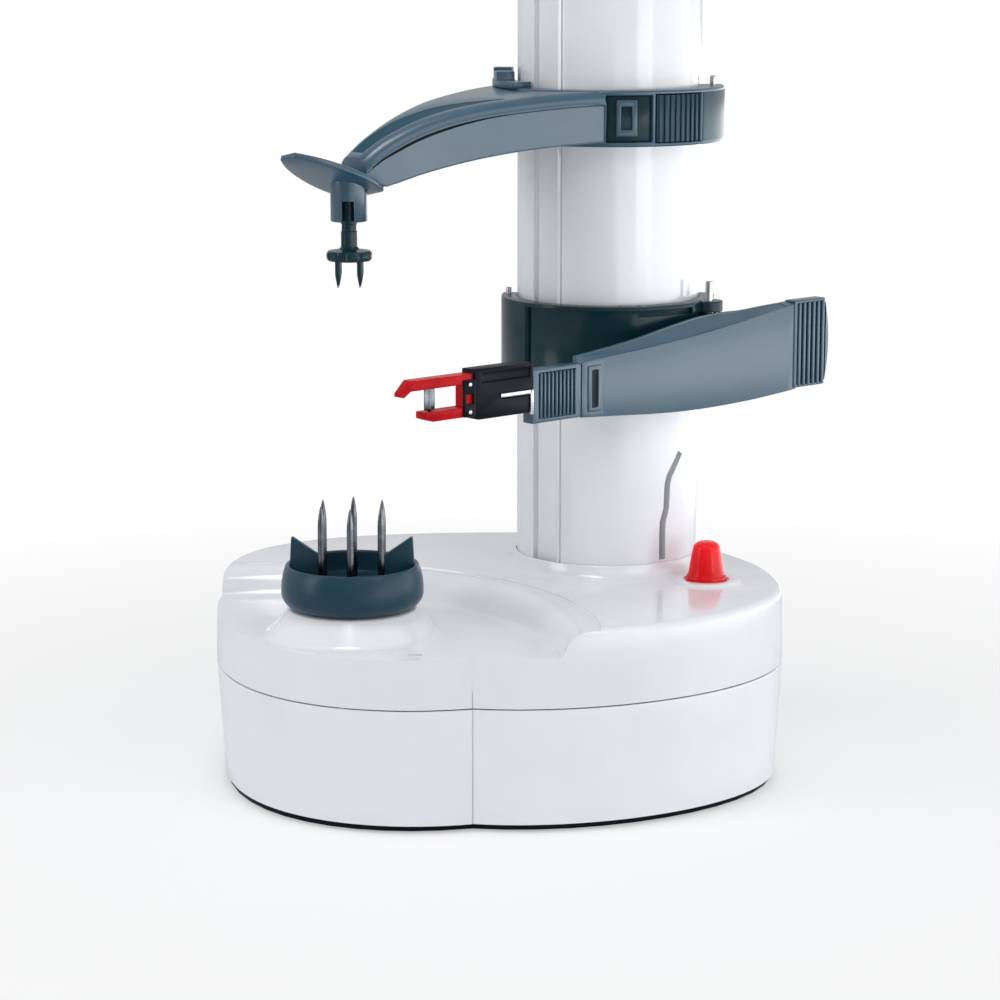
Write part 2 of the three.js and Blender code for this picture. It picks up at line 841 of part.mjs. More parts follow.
function turntableCup() {
  const top = cupBottom + cupHeight;
  const floor = cupBottom + cupFloorRise;
  const bend = [];
  for (const share of [0, 1 / 3, 2 / 3, 1]) {
    const angle = radians(-90 + 90 * share);
    const wide = cupRadius - cupFootRadius;
    bend.push([cupFootRadius + wide * Math.cos(angle), cupBottom + cupRound + cupRound * Math.sin(angle)]);
  }
  const bowl = turned([
    [0, cupBottom + cupFloorRise / 2 + runningGap],
    [shaftRadius, cupBottom + cupFloorRise / 2 + runningGap],
    [shaftRadius, cupBottom], ...bend, [cupRadius, (top + cupBottom + cupRound) / 2],
    [cupRadius - cupLean, top], [cupRadius - cupLean - cupRim, top],
    [cupRadius - cupRim * 3 / 2, floor + cupRim], [cupRadius - cupRim * 3, floor], [0, floor],
  ]);
  const fins = [0, 180].map((turn) => sidePrism([
    vec2(finInnerRadius, floor - cupRim), vec2(finOuterRadius - cupRim * 2, floor - cupRim),
    vec2(finOuterRadius, top - seatGap), vec2(finPeakRadius + cupRim / 3, top + finPeakRise),
    vec2(finPeakRadius - cupRim / 3, top + finPeakRise), vec2(finInnerRadius, top + finInnerRise),
  ], -finThickness / 2, finThickness / 2).rotate([0, 0, turn]));
  const seats = prongPlaces().map((place) =>
    rod(prongRadius + seatGap, floor - prongSeat - seatGap, top, place.x, place.y, tinySides));
  return joined([bowl, ...fins]).subtract(joined(seats));
}

function prongPlaces() {
  return Array.from({ length: prongCount }, (_, i) => polar(prongCircle, (360 * (i + 1 / 2)) / prongCount));
}

function prong(place) {
  const bottom = cupBottom + cupFloorRise - prongSeat;
  return turned([
    [0, bottom], [prongRadius, bottom], [prongRadius, prongLevel - prongPoint],
    [prongRadius * 2 / 3, prongLevel - prongPoint / 2], [0, prongLevel],
  ], tinySides, place.x, place.y);
}

// Column, its cap and the lead screw

function columnSection(radius, halfWidth, bottomRadius) {
  const half = degrees(Math.asin(halfWidth / radius));
  const points = arc(radius, channelAngle + half, channelAngle + 360 - half, roundSides);
  const across = polar(halfWidth, channelAngle + 90);
  const floor = polar(bottomRadius, channelAngle);
  points.push(vec2(floor.x - across.x, floor.y - across.y), vec2(floor.x + across.x, floor.y + across.y));
  return points;
}

function column() {
  const bottom = deckLevel - shellWall - seatGap - flangeThick;
  const channelFloor = columnRadius - channelDepth;
  const outside = columnSection(columnRadius, channelWidth / 2, channelFloor);
  const hollow = columnSection(columnRadius - columnWall, channelWidth / 2 + columnWall,
    channelFloor - columnWall);
  const tube = prism(outside, bottom, columnTop);
  const flange = rod(flangeRadius, bottom, bottom + flangeThick, 0, 0, roundSides);
  const slotReach = columnRadius + overrun;
  const slot = block(-driveSlotWidth / 2, driveSlotWidth / 2, 0, slotReach, driveSlotBottom, driveSlotTop)
    .rotate([0, 0, driveSlotAngle - 90]);
  return tube.add(flange).subtract(prism(hollow, bottom - overrun, columnTop + overrun)).subtract(slot)
    .subtract(camSlot());
}

function camSlot() {
  const pieces = [];
  const reach = [columnRadius - columnWall - overrun, columnRadius + overrun];
  for (let i = 0; i + 1 < camSlotLevels.length; i++) {
    const loops = reach.map((radius) => {
      const half = camSlotWidth / 2;
      const low = polar(radius, camSlotAngles[i]);
      const high = polar(radius, camSlotAngles[i + 1]);
      const side = polar(half, camSlotAngles[i] + 90);
      const bottom = camSlotLevels[i] - (i ? half / 2 : 0);
      const top = camSlotLevels[i + 1] + half / 2;
      return [
        new THREE.Vector3(low.x - side.x, low.y - side.y, bottom),
        new THREE.Vector3(low.x + side.x, low.y + side.y, bottom),
        new THREE.Vector3(high.x + side.x, high.y + side.y, top),
        new THREE.Vector3(high.x - side.x, high.y - side.y, top),
      ];
    });
    pieces.push(loft(loops));
  }
  return joined(pieces);
}

function columnCap() {
  const inner = columnRadius - columnWall - seatGap;
  const spigotBottom = columnTop - capSpigot;
  const rise = capTop - columnTop;
  const spigot = inner - channelDepth - columnWall * 2;
  const edge = columnTop + seatGap + rise * capEdgeShare;
  const flat = columnRadius * capFlatShare;
  const dome = [1 / 3, 2 / 3, 1].map((share) => {
    const angle = radians(90 * share);
    return [flat + (columnRadius - flat) * Math.cos(angle), edge + (capTop - edge) * Math.sin(angle)];
  });
  const head = turned([
    [0, spigotBottom], [spigot, spigotBottom], [spigot, columnTop + seatGap],
    [columnRadius, columnTop + seatGap],
    [columnRadius, edge], ...dome, [0, capTop],
  ]);
  return head.subtract(rod(screwTip + runningGap, spigotBottom - overrun, columnTop));
}

function leadScrew() {
  const tipTop = screwTop + screwTipLength;
  return turned([
    [0, shaftFoot], [screwRadius, shaftFoot], [screwRadius, screwTop], [screwTip, screwTop + screwTip],
    [screwTip, tipTop], [0, tipTop],
  ], smallSides);
}

// Start button with its switch and spring

function startButton() {
  const flangeBottom = deckLevel + seatGap;
  const flangeTop = flangeBottom + buttonFlange;
  const dome = [1, 2, 3].map((step) => {
    const angle = radians(90 * step / 3);
    return [step === 3 ? 0 : buttonTopRadius * Math.cos(angle),
      buttonTop - buttonTopRadius * buttonDomeShare * (1 - Math.sin(angle))];
  });
  return turned([
    [0, switchTop() + seatGap + buttonStroke], [buttonStem, switchTop() + seatGap + buttonStroke],
    [buttonStem, flangeBottom], [buttonFlangeRadius, flangeBottom], [buttonFlangeRadius, flangeTop],
    [buttonRadius, flangeTop], [buttonTopRadius, buttonTop - buttonTopRadius * buttonDomeShare], ...dome,
  ], smallSides, buttonX, buttonY);
}

function switchTop() {
  return deckLevel - springHeight - buttonStroke - seatGap * 2;
}

function startSwitch() {
  const bottom = gearPlateTop + seatGap;
  return block(buttonX - switchWidth / 2, buttonX + switchWidth / 2, buttonY - switchDepth / 2,
    buttonY + switchDepth / 2, bottom, switchTop());
}

function buttonSpring() {
  const height = springHeight - springWire * 2;
  return helixRod(springRadius, springWire, springTurns, switchTop() + seatGap + springWire, height)
    .translate([buttonX, buttonY, 0]);
}

// Blade carriage: its front ring with a sunk panel and the hinge lug, its rear yoke, nut and pins

function swingRoom() {
  const far = carriageRadius * 3;
  const near = leverFace - leverDepth - runningGap * 3;
  const pin = leverFramePin();
  return block(-far, pin.x - lugRadius / 2, -far, -near, carriageBottom - overrun, carriageTop - topPlate)
    .translate([-pin.x, -pin.y, 0]).rotate([0, 0, -swingIn]).translate([pin.x, pin.y, 0])
    .rotate([0, 0, leverAngle]);
}

function leverFramePin() {
  const turn = radians(-leverAngle);
  return vec2(pinX * Math.cos(turn) - pinY * Math.sin(turn), pinX * Math.sin(turn) + pinY * Math.cos(turn));
}

function carriage() {
  const round = rod(carriageRadius, carriageBottom, carriageTop, 0, 0, roundSides);
  const dip = sector(carriageRadius - carriageDip, carriageRadius + overrun, carriageDipStart,
    carriageDipEnd, carriageBottom + carriageRim, carriageTop - carriageRim, tinySides);
  const top = carriageTop - topPlate;
  const behind = block(-carriageRadius - overrun, carriageRadius + overrun, splitLine,
    carriageRadius + overrun,
    carriageBottom - overrun, carriageTop + overrun);
  const bore = rod(carriageBore, carriageBottom - overrun, carriageTop + overrun, 0, 0, roundSides);
  const earRoom = rod(earRadius + runningGap * 2, lugTop, top, pinX, pinY);
  const ear = rod(earRadius, top, carriageTop, pinX, pinY);
  const lug = rod(lugRadius, carriageBottom, lugTop, pinX, pinY);
  const body = round.subtract(dip).subtract(swingRoom()).subtract(earRoom).add(ear).add(lug);
  const pinHoles = [
    rod(pinRadius + runningGap, carriageBottom - overrun, carriageTop + overrun, pinX, pinY),
    rod(yokePinRadius + seatGap, carriageBottom - overrun, carriageTop + overrun, yokePinX, yokePinY,
      tinySides),
  ];
  return body.subtract(bore).subtract(behind).subtract(joined(pinHoles));
}

function carriageYoke() {
  const bottom = carriageBottom + yokeInset;
  const top = carriageTop - yokeInset;
  const start = degrees(Math.asin((splitLine + seatGap) / carriageBore)) + yokeEndAngle;
  const section = [...arc(yokeRadius, start, 180 - start, roundSides / 2),
    ...arc(carriageBore, 180 - start, start, roundSides / 2)];
  const tabHole = block(-driveSlotWidth / 2, driveSlotWidth / 2, 0, carriageBore + nutTab / 2 + seatGap,
    nutLevel - nutHeight / 2 - seatGap, nutLevel + nutHeight / 2 + seatGap);
  return prism(section, bottom, top).subtract(tabHole);
}

function screwNut() {
  const half = nutHeight / 2;
  const wide = driveSlotWidth / 2 - slideGap;
  const collar = rod(nutRadius, nutLevel - half, nutLevel + half);
  const tab = block(-wide, wide, 0, carriageBore + nutTab / 2, nutLevel - half, nutLevel + half);
  return collar.add(tab).subtract(rod(screwRadius + runningGap, nutLevel - nutHeight,
    nutLevel + nutHeight));
}

function hingePin() {
  return rod(pinRadius, pinFoot, carriageTop + pinRise, pinX, pinY, tinySides);
}

function yokePin() {
  return rod(yokePinRadius, carriageBottom, carriageTop + pinRise / 3, yokePinX, yokePinY, tinySides);
}

// Peeling lever: a bowed channel with two ears at the hinge, a window, a ribbed pad and a latch end

function leverTop(share) {
  const last = leverRiseShares.length - 1;
  let i = 0;
  while (i < last - 1 && share > leverRiseShares[i + 1]) i++;
  const part = (share - leverRiseShares[i]) / (leverRiseShares[i + 1] - leverRiseShares[i]);
  return leverRise[i] + (leverRise[i + 1] - leverRise[i]) * part;
}

function leverBody() {
  const length = leverRight - leverLeft;
  const face = -leverFace;
  const loops = leverRiseShares.map((share, i) => {
    const x = leverLeft + length * share;
    const crest = leverRise[i];
    const bottom = leverBottom - leverSags[i];
    const ridge = crest + bevelRises[i];
    return [
      new THREE.Vector3(x, face, bottom), new THREE.Vector3(x, face, crest),
      new THREE.Vector3(x, face + bevelBack, ridge), new THREE.Vector3(x, face + leverDepth, ridge),
      new THREE.Vector3(x, face + leverDepth, bottom),
    ];
  });
  const last = leverRiseShares.length - 1;
  const crest = leverRise[last];
  const padBottom = leverBottom - leverSags[last];
  const middle = (padBottom + crest) / 2;
  const start = leverLeft + length * leverRiseShares[last];
  const padEnd = sidePrism([
    vec2(start - seatGap, padBottom), vec2(leverRight, padBottom),
    vec2(leverRight + padBulge * 2 / 3, middle - padBulge * 3), vec2(leverRight + padBulge, middle),
    vec2(leverRight + padBulge * 2 / 3, middle + padBulge * 3), vec2(leverRight, crest),
    vec2(start - seatGap, crest),
  ], face, face + leverDepth);
  return loft(loops).add(padEnd);
}

function peelLever() {
  const face = -leverFace;
  const length = leverRight - leverLeft;
  const pin = leverFramePin();
  const inside = face + leverSkin;
  const roof = (x) => leverTop((x - leverLeft) / length) - leverSkin;
  const roomRight = padLeft - leverSkin;
  const roomLeft = windowLeft + windowWide + leverSkin;
  const room = sidePrism([
    vec2(roomLeft, leverBottom + leverSkin), vec2(roomRight, leverBottom + leverSkin),
    vec2(roomRight, roof(roomRight)),
    vec2((roomLeft + roomRight) / 2, roof((roomLeft + roomRight) / 2)), vec2(roomLeft, roof(roomLeft)),
  ], inside, face + leverDepth + overrun);
  const ribs = Array.from({ length: padRibs }, (_, i) => {
    const pitch = (leverRight - padLeft) / padRibs;
    const x = padLeft + pitch * (i + 1 / 2);
    return block(x - padRibWidth / 2, x + padRibWidth / 2, face - padRibHeight, face + padRibHeight,
      leverBottom + padRibWidth, leverRise[leverRise.length - 1] - padRibWidth);
  });
  const opening = block(windowLeft, windowLeft + windowWide, face - overrun, face + leverDepth + overrun,
    windowBottom, windowBottom + windowTall);
  const earPlan = [
    vec2(pin.x - lugRadius, inside), vec2(pin.x + lugRadius, inside),
    ...arc(lugRadius, 0, 180, tinySides, pin.x, pin.y),
  ];
  const earFloor = carriageBottom - runningGap;
  const ears = [
    prism(earPlan, earFloor - leverEar, earFloor),
    prism(earPlan, lugTop + runningGap, lugTop + runningGap + upperEar),
  ];
  const pinHole = rod(pinRadius + runningGap, leverBottom - overrun, carriageTop, pin.x, pin.y);
  const coilRoom = rod(coilRadius + coilWire + runningGap, lugTop + runningGap + upperEar, carriageTop,
    pin.x, pin.y);
  return joined([leverBody().subtract(room), ...ribs, ...ears]).subtract(opening).subtract(pinHole)
    .subtract(coilRoom);
}

// Torsion coil round the hinge pin, under the carriage's top plate
function leverSpring() {
  const bottom = carriageTop - topPlate - seatGap - coilWire - coilHeight;
  return helixRod(coilRadius, coilWire, coilTurns, bottom, coilHeight).translate([pinX, pinY, 0]);
}

// Blade cartridge: latch block, black carrier, red fork and swivelling blade

function bladeClamp() {
  const face = -leverFace;
  const right = leverLeft - seatGap;
  const body = block(clampLeft, right, face, face + leverDepth, leverBottom, clampTop);
  const pitch = (right - clampLeft) / clampRibs;
  const ribs = Array.from({ length: clampRibs }, (_, i) =>
    block(clampLeft + pitch * i + clampRib * 2, clampLeft + pitch * (i + 1) - clampRib, face - clampRib,
      face + clampRib,
      leverBottom + clampRib, clampTop - clampRib));
  return joined([body, ...ribs]);
}

function bladeCarrier() {
  const face = -leverFace + (leverDepth - carrierThick) / 2;
  const right = clampLeft - seatGap;
  const outlinePoints = [
    vec2(carrierLeft, carrierBottom + carrierSlot), vec2(carrierLeft + carrierSlot, carrierBottom),
    vec2(right - carrierSlot, carrierBottom), vec2(right - carrierSlot, carrierSplit - carrierSlot),
    vec2(carrierSlotLeft, carrierSplit - carrierSlot), vec2(carrierSlotLeft, carrierSplit),
    vec2(right, carrierSplit),
    vec2(right, carrierTop), vec2(carrierLeft, carrierTop),
  ];
  const relief = block(carrierLeft + carrierSlot * 2, right - carrierSlot, face - overrun,
    face + carrierSlot / 2,
    (carrierSplit + carrierTop) / 2, carrierTop - carrierSlot);
  return sidePrism(outlinePoints, face, face + carrierThick).subtract(relief);
}

function bladeFork() {
  const face = -leverFace + (leverDepth - forkThick) / 2;
  const right = carrierLeft - seatGap;
  const bridge = forkTop - forkUpper;
  const points = [
    vec2(right, forkBottom), vec2(right, forkTop), vec2(forkLeft + forkTipDrop, forkTop),
    vec2(forkLeft, forkTop - forkTipDrop), vec2(forkLeft, forkUpper - forkTipDrop / 2),
    vec2(forkLeft + bridge, forkUpper), vec2(right - bridge, forkUpper), vec2(right - bridge, forkLower),
    vec2(forkLowerLeft, forkLower), vec2(forkLowerLeft, forkBottom + bridge / 3),
    vec2(forkLowerLeft + bridge, forkBottom),
  ];
  const holes = rod(bladePin + runningGap, forkBottom + bridge / 2, forkTop - bridge / 2, bladePivotX,
    bladeMiddle(), tinySides);
  return sidePrism(points.reverse(), face, face + forkThick).subtract(holes);
}

function bladeMiddle() {
  return -leverFace + leverDepth / 2;
}

function blade() {
  const bridge = forkTop - forkUpper;
  const bottom = forkLower + runningGap;
  const top = forkUpper - runningGap;
  const middle = bladeMiddle();
  const edge = bladeThick / 4;
  const plan = [
    vec2(bladePivotX - bladeWide / 2, middle - edge),
    vec2(bladePivotX - bladeWide / 4, middle - bladeThick / 2),
    vec2(bladePivotX + bladeWide / 4, middle - bladeThick / 2),
    vec2(bladePivotX + bladeWide / 2, middle - edge),
    vec2(bladePivotX + bladeWide / 2, middle + edge),
    vec2(bladePivotX + bladeWide / 4, middle + bladeThick / 2),
    vec2(bladePivotX - bladeWide / 4, middle + bladeThick / 2),
    vec2(bladePivotX - bladeWide / 2, middle + edge),
  ];
  const pin = rod(bladePin, forkBottom + bridge / 2 + seatGap, forkTop - bridge / 2 - seatGap, bladePivotX,
    middle, tinySides);
  return prism(plan, bottom, top).add(pin);
}

// Upper arm: collar with a raised lug at its left pin, and tapering hollow beam, in one moulding

function armLoop(x, half, bottom, side, crown, groove) {
  const shoulder = half * crownShare;
  const lip = half * grooveShare;
  return [
    new THREE.Vector3(x, -half, bottom), new THREE.Vector3(x, half, bottom),
    new THREE.Vector3(x, half, side),
    new THREE.Vector3(x, shoulder, crown), new THREE.Vector3(x, lip, crown + groove / 3),
    new THREE.Vector3(x, lip / 2, crown - groove), new THREE.Vector3(x, -lip / 2, crown - groove),
    new THREE.Vector3(x, -lip, crown + groove / 3), new THREE.Vector3(x, -shoulder, crown),
    new THREE.Vector3(x, -half, side),
  ];
}

function armBeam() {
  return loft(armStations.map((x, i) => {
    const groove = armGrooves[i];
    const crown = collarBottom + armCrownRises[i] - groove / 3;
    return armLoop(x, armHalfWidths[i], collarBottom + armBottomRises[i], collarBottom + armSideRises[i],
      crown, groove);
  }));
}

function along(values, x) {
  let i = 0;
  while (i < armStations.length - 2 && x > armStations[i + 1]) i++;
  const part = (x - armStations[i]) / (armStations[i + 1] - armStations[i]);
  return values[i] + (values[i + 1] - values[i]) * part;
}

function armHollow() {
  const start = armReach * armHollowStartShare;
  const end = armReach * armHollowEndShare;
  const stops = [start, ...armStations.filter((x) => x > start && x < end), end];
  return loft(stops.map((x) => {
    const half = along(armHalfWidths, x) - armSkin;
    const roof = collarBottom + along(armSideRises, x) - armSkin;
    const floor = collarBottom + along(armBottomRises, x) - overrun;
    return [
      new THREE.Vector3(x, -half, floor), new THREE.Vector3(x, half, floor),
      new THREE.Vector3(x, half, roof), new THREE.Vector3(x, -half, roof),
    ];
  }));
}

function sector(inner, outer, from, to, bottom, top, steps) {
  return prism([...arc(outer, from, to, steps), ...arc(inner, to, from, steps)], bottom, top);
}

function upperArm() {
  const toArm = (piece) => piece.rotate([0, 0, armAngle]);
  const round = rod(collarRadius, collarBottom, collarTop, 0, 0, roundSides);
  const bore = rod(carriageBore, collarBottom - overrun, collarTop + overrun, 0, 0, roundSides);
  const behind = block(-collarRadius - overrun, collarRadius + overrun, splitLine, collarRadius + overrun,
    collarBottom - overrun, collarTop + overrun);
  const beam = armBeam().subtract(armHollow()).subtract(tabPlate(seatGap, tabThick + overrun));
  const pocket = sector(pocketInner, collarRadius + overrun, gripStart, gripEnd,
    collarBottom + gripInset - seatGap,
    collarTop - gripInset + seatGap, tinySides);
  const recess = sector(collarRadius - frameDepth, collarRadius + overrun, frameStart, frameEnd,
    collarBottom + frameInset, collarTop - frameInset, recessSteps);
  const lug = sector(carriageBore, collarRadius, collarLugStart, collarLugEnd, collarTop - seatGap,
    collarTop + collarLugRise, recessSteps);
  const pinHoles = [-collarPinX, collarPinX].map((x) =>
    rod(collarPinRadius + seatGap, collarTop - collarPinRise * 2, collarTop + overrun, x, 0, tinySides));
  return round.add(toArm(beam)).add(lug).subtract(bore).subtract(behind).subtract(pocket).subtract(recess)
    .subtract(joined(pinHoles));
}

function collarYoke() {
  const start = degrees(Math.asin((splitLine + seatGap) / carriageBore)) + yokeEndAngle;
  const section = [...arc(collarYokeRadius, start, 180 - start, roundSides / 2),
    ...arc(carriageBore, 180 - start, start, roundSides / 2)];
  return prism(section, collarBottom + collarYokeInset, collarTop - collarYokeInset);
}

function collarPin(side) {
  const bottom = collarTop - collarPinRise * 2 + seatGap;
  return turned([
    [0, bottom], [collarPinRadius, bottom],
    [collarPinRadius, collarTop + collarPinRise - collarPinRadius / 2],
    [collarPinRadius / 2, collarTop + collarPinRise], [0, collarTop + collarPinRise],
  ], tinySides, side * collarPinX, 0);
}

function releaseGrip() {
  const margin = degrees(slideGap / gripInner);
  const from = gripStart + margin;
  const to = gripEnd - margin;
  const bottom = collarBottom + gripInset;
  const top = collarTop - gripInset;
  const body = sector(gripInner, gripOuter - gripRib, from, to, bottom, top, tinySides);
  const pitch = (to - from) / gripRibs;
  const ribs = Array.from({ length: gripRibs }, (_, i) =>
    sector(gripOuter - gripRib * 3 / 2, gripOuter, from + pitch * (i + 1 / 4), from + pitch * (i + 3 / 4),
      bottom, top, 1));
  return joined([body, ...ribs]);
}

// The leaf plate, grown all round and carried down below itself when it is used as a cutter
function tabPlate(grow, below) {
  const half = tabHalf + grow;
  const plan = [
    vec2(-grow, -half * tabRootShare), vec2(tabLength * tabWideShare, -half),
    vec2(tabLength * tabWaistShare, -half * tabWaistWidthShare), vec2(tabLength + grow, -tabEndHalf - grow),
    vec2(tabLength + grow, tabEndHalf + grow), vec2(tabLength * tabWaistShare, half * tabWaistWidthShare),
    vec2(tabLength * tabWideShare, half), vec2(-grow, half * tabRootShare),
  ];
  return prism(plan, -grow - below, tabThick + grow).rotate([0, -tabSlope, 0]).translate([tabStart, 0,
    tabLevel]);
}

function thumbTab() {
  const deep = socketRadius * 4;
  const under = block(-deep, tabLength, -tabHalf, tabHalf, -deep, tabThick / 2)
    .rotate([0, -tabSlope, 0]).translate([tabStart, 0, tabLevel]);
  const socket = rod(socketRadius, socketBottom, collarTop, armReach, 0).intersect(under);
  const mouth = block(0, socketRadius * 2, -socketMouth / 2, socketMouth / 2, socketBottom - overrun,
    spindleTop + runningGap).rotate([0, 0, -armAngle - 90]).translate([armReach, 0, 0]);
  const hole = rod(socketBore, socketBottom - overrun, spindleTop + runningGap, armReach, 0);
  return tabPlate(0, 0).add(socket).subtract(mouth).subtract(hole);
}

function spindle() {
  const pinTop = spindleTop;
  return rod(spindleRadius, spindleHeadTop - seatGap * 2, pinTop)
    .add(turned([
      [0, spindleHeadTop - spindleHead], [spindleHeadRadius * 3 / 4, spindleHeadTop - spindleHead],
      [spindleHeadRadius, spindleHeadTop - spindleHead / 2], [spindleHeadRadius * 3 / 4, spindleHeadTop],
      [0, spindleHeadTop],
    ], smallSides))
    .add(joined(Array.from({ length: spikeCount }, (_, i) => {
      const place = polar(spikeCircle, (360 * (i + 1 / 2)) / spikeCount);
      return turned([
        [0, spikeBottom], [spikeRadius, spikeBottom + spindleHead],
        [spikeRadius, spindleHeadTop - spindleHead / 2],
        [0, spindleHeadTop - spindleHead / 2],
      ], tinySides, place.x, place.y);
    })));
}

// Materials

function finish(color, roughness, metalness = 0) {
  return () => new THREE.MeshStandardMaterial({ color, roughness, metalness });
}

const whiteGloss = finish(0xeef0f6, 0.25);
const slate = finish(0x465761, 0.4);
const slateDark = finish(0x33444f, 0.45);
const blackPlastic = finish(0x15171c, 0.45);
const redPlastic = finish(0xd4202c, 0.35);
const rubber = finish(0x1a1a1c, 0.85);
const steel = finish(0xb9bec6, 0.28, 1);
const darkSteel = finish(0x6a6f78, 0.3, 1);
const nylon = finish(0xe6e2d3, 0.55);
const boardGreen = finish(0x1f6b42, 0.5);

// Assembly

const part = new THREE.Group();

function add(group, name, body, material) {
  const mesh = new THREE.Mesh(geometryOf(body), material());
  mesh.name = name;
  group.add(mesh);
}

function groupAt(x, y, parent = part) {
  const group = new THREE.Group();
  group.position.set(x, y, 0);
  parent.add(group);
  return group;
}

function addBase() {
  add(part, "bottom_cover", bottomCover(), blackPlastic);
  footX.forEach((_, i) => add(part, `foot_${i + 1}`, foot(i), rubber));
  add(part, "lower_shell", lowerShell(), whiteGloss);
  add(part, "upper_shell", upperShell(), whiteGloss);
  add(part, "turntable_bush", turntableBush(), nylon);
  add(part, "gear_plate", gearPlate(), steel);
  add(part, "circuit_board", circuitBoard(), boardGreen);
  add(part, "power_inlet", powerInlet(), blackPlastic);
  add(part, "start_switch", startSwitch(), blackPlastic);
  add(part, "start_button", startButton(), redPlastic);
  add(part, "button_spring", buttonSpring(), steel);
}

function addDrive() {
  const pinion = groupAt(pinionDrive.x, pinionDrive.y);
  add(pinion, "motor", motor(), darkSteel);
  add(pinion, "motor_pinion", motorPinion(), steel);
  const idler = groupAt(idlerX, idlerY);
  add(idler, "idler_gear", gear(idlerDrive, axleRadius + runningGap), nylon);
  add(idler, "idler_axle", idlerAxle(), steel);
}

function addTurntable() {
  const turntable = groupAt(turntableX, turntableY);
  add(turntable, "turntable_gear", gear(turntableDrive, shaftRadius, gearHub), nylon);
  add(turntable, "turntable_shaft", turntableShaft(), steel);
  add(turntable, "turntable_cup", turntableCup(), slate);
  prongPlaces().forEach((place, i) => add(turntable, `prong_${i + 1}`, prong(place), darkSteel));
}

function addColumn() {
  const tower = groupAt(columnX, columnY);
  add(tower, "column", column(), whiteGloss);
  add(tower, "column_cap", columnCap(), whiteGloss);
  add(tower, "lead_screw", leadScrew(), steel);
  add(tower, "screw_gear", gear(screwDrive, screwRadius + seatGap, gearHub), nylon);
  return tower;
}

function addCarriage(tower) {
  add(tower, "carriage", carriage(), slateDark);
  add(tower, "carriage_yoke", carriageYoke(), slateDark);
  add(tower, "carriage_nut", screwNut(), nylon);
  add(tower, "lever_pin", hingePin(), steel);
  add(tower, "yoke_pin", yokePin(), steel);
  add(tower, "lever_spring", leverSpring(), steel);
  const lever = groupAt(0, 0, tower);
  lever.rotation.z = radians(leverAngle);
  add(lever, "peel_lever", peelLever(), slate);
  add(lever, "blade_clamp", bladeClamp(), slate);
  add(lever, "blade_carrier", bladeCarrier(), blackPlastic);
  add(lever, "blade_fork", bladeFork(), redPlastic);
  add(lever, "blade", blade(), steel);
}

function addUpperArm(tower) {
  add(tower, "upper_arm", upperArm(), slate);
  add(tower, "collar_yoke", collarYoke(), slateDark);
  add(tower, "collar_pin_left", collarPin(1), steel);
  add(tower, "collar_pin_right", collarPin(-1), steel);
  add(tower, "release_grip", releaseGrip(), slateDark);
  const arm = groupAt(0, 0, tower);
  arm.rotation.z = radians(armAngle);
  add(arm, "thumb_tab", thumbTab(), slate);
  const top = groupAt(armReach, 0, arm);
  add(top, "top_spindle", spindle(), slateDark);
}

addBase();
addDrive();
addTurntable();
const tower = addColumn();
addCarriage(tower);
addUpperArm(tower);

// The part stands on the middle of its own footprint
part.updateMatrixWorld(true);
const box = new THREE.Box3().setFromObject(part, true);
part.position.set(-(box.min.x + box.max.x) / 2, -(box.min.y + box.max.y) / 2, -box.min.z);

export default part;
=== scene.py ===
# %% [markdown]
# An electric peeler: a white motor base carries a spiked cup that turns, and a tall hollow column. A carriage
# with a sprung blade lever climbs the column, and a sliding upper arm holds from above what the turntable
# turns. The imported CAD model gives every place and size, so the scene starts by loading it and noting its
# box.

# %% Load the frame
import json
import math

import bmesh
import bpy
from mathutils import Euler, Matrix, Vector

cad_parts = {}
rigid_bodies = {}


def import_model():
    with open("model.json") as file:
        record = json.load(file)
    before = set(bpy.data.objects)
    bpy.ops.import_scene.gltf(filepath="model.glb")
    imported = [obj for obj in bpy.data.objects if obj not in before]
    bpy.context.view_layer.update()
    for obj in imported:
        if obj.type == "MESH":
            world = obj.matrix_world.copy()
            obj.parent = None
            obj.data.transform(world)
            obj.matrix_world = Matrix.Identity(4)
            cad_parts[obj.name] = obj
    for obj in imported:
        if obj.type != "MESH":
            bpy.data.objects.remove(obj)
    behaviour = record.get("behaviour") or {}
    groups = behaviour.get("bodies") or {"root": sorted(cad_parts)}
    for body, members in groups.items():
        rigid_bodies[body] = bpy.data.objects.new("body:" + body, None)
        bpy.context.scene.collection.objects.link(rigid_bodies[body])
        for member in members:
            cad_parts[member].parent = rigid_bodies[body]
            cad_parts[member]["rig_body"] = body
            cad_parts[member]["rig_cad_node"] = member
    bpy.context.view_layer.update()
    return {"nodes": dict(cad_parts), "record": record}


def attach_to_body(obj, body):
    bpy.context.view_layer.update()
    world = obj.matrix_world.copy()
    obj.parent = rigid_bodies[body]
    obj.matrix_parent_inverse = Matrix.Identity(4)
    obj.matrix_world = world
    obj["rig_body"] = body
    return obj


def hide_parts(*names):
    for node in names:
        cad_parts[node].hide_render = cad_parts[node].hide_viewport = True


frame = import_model()

# %% [markdown]
# The part is designed in millimetres, and its frame has its origin under the middle of the footprint. A few
# places are met again and again: the axes of the turntable, the column and the button, in metres, and the
# levels of the base and the radii of the column and of what slides on it, in millimetres. Writing them once
# keeps each later cell short.

# %% Shared places and sizes
MM = 0.001
turntable = Vector((-62.416, -42.076, 0)) * MM
tower = Vector((30.684, 34.424, 0)) * MM
button_place = Vector((66.584, -0.276, 0)) * MM
seam_level, tray_level, deck_level = 45, 63, 72.5
column_radius, sliding_radius = 34, 34.35


def around(centre, radius, angle):
    """The place at a radius in millimetres and an angle in degrees from an axis."""
    turn = math.radians(angle)
    return centre + Vector((math.cos(turn), math.sin(turn), 0)) * radius * MM


print("tower stands", round((tower - turntable).length, 4), "m from the turntable")

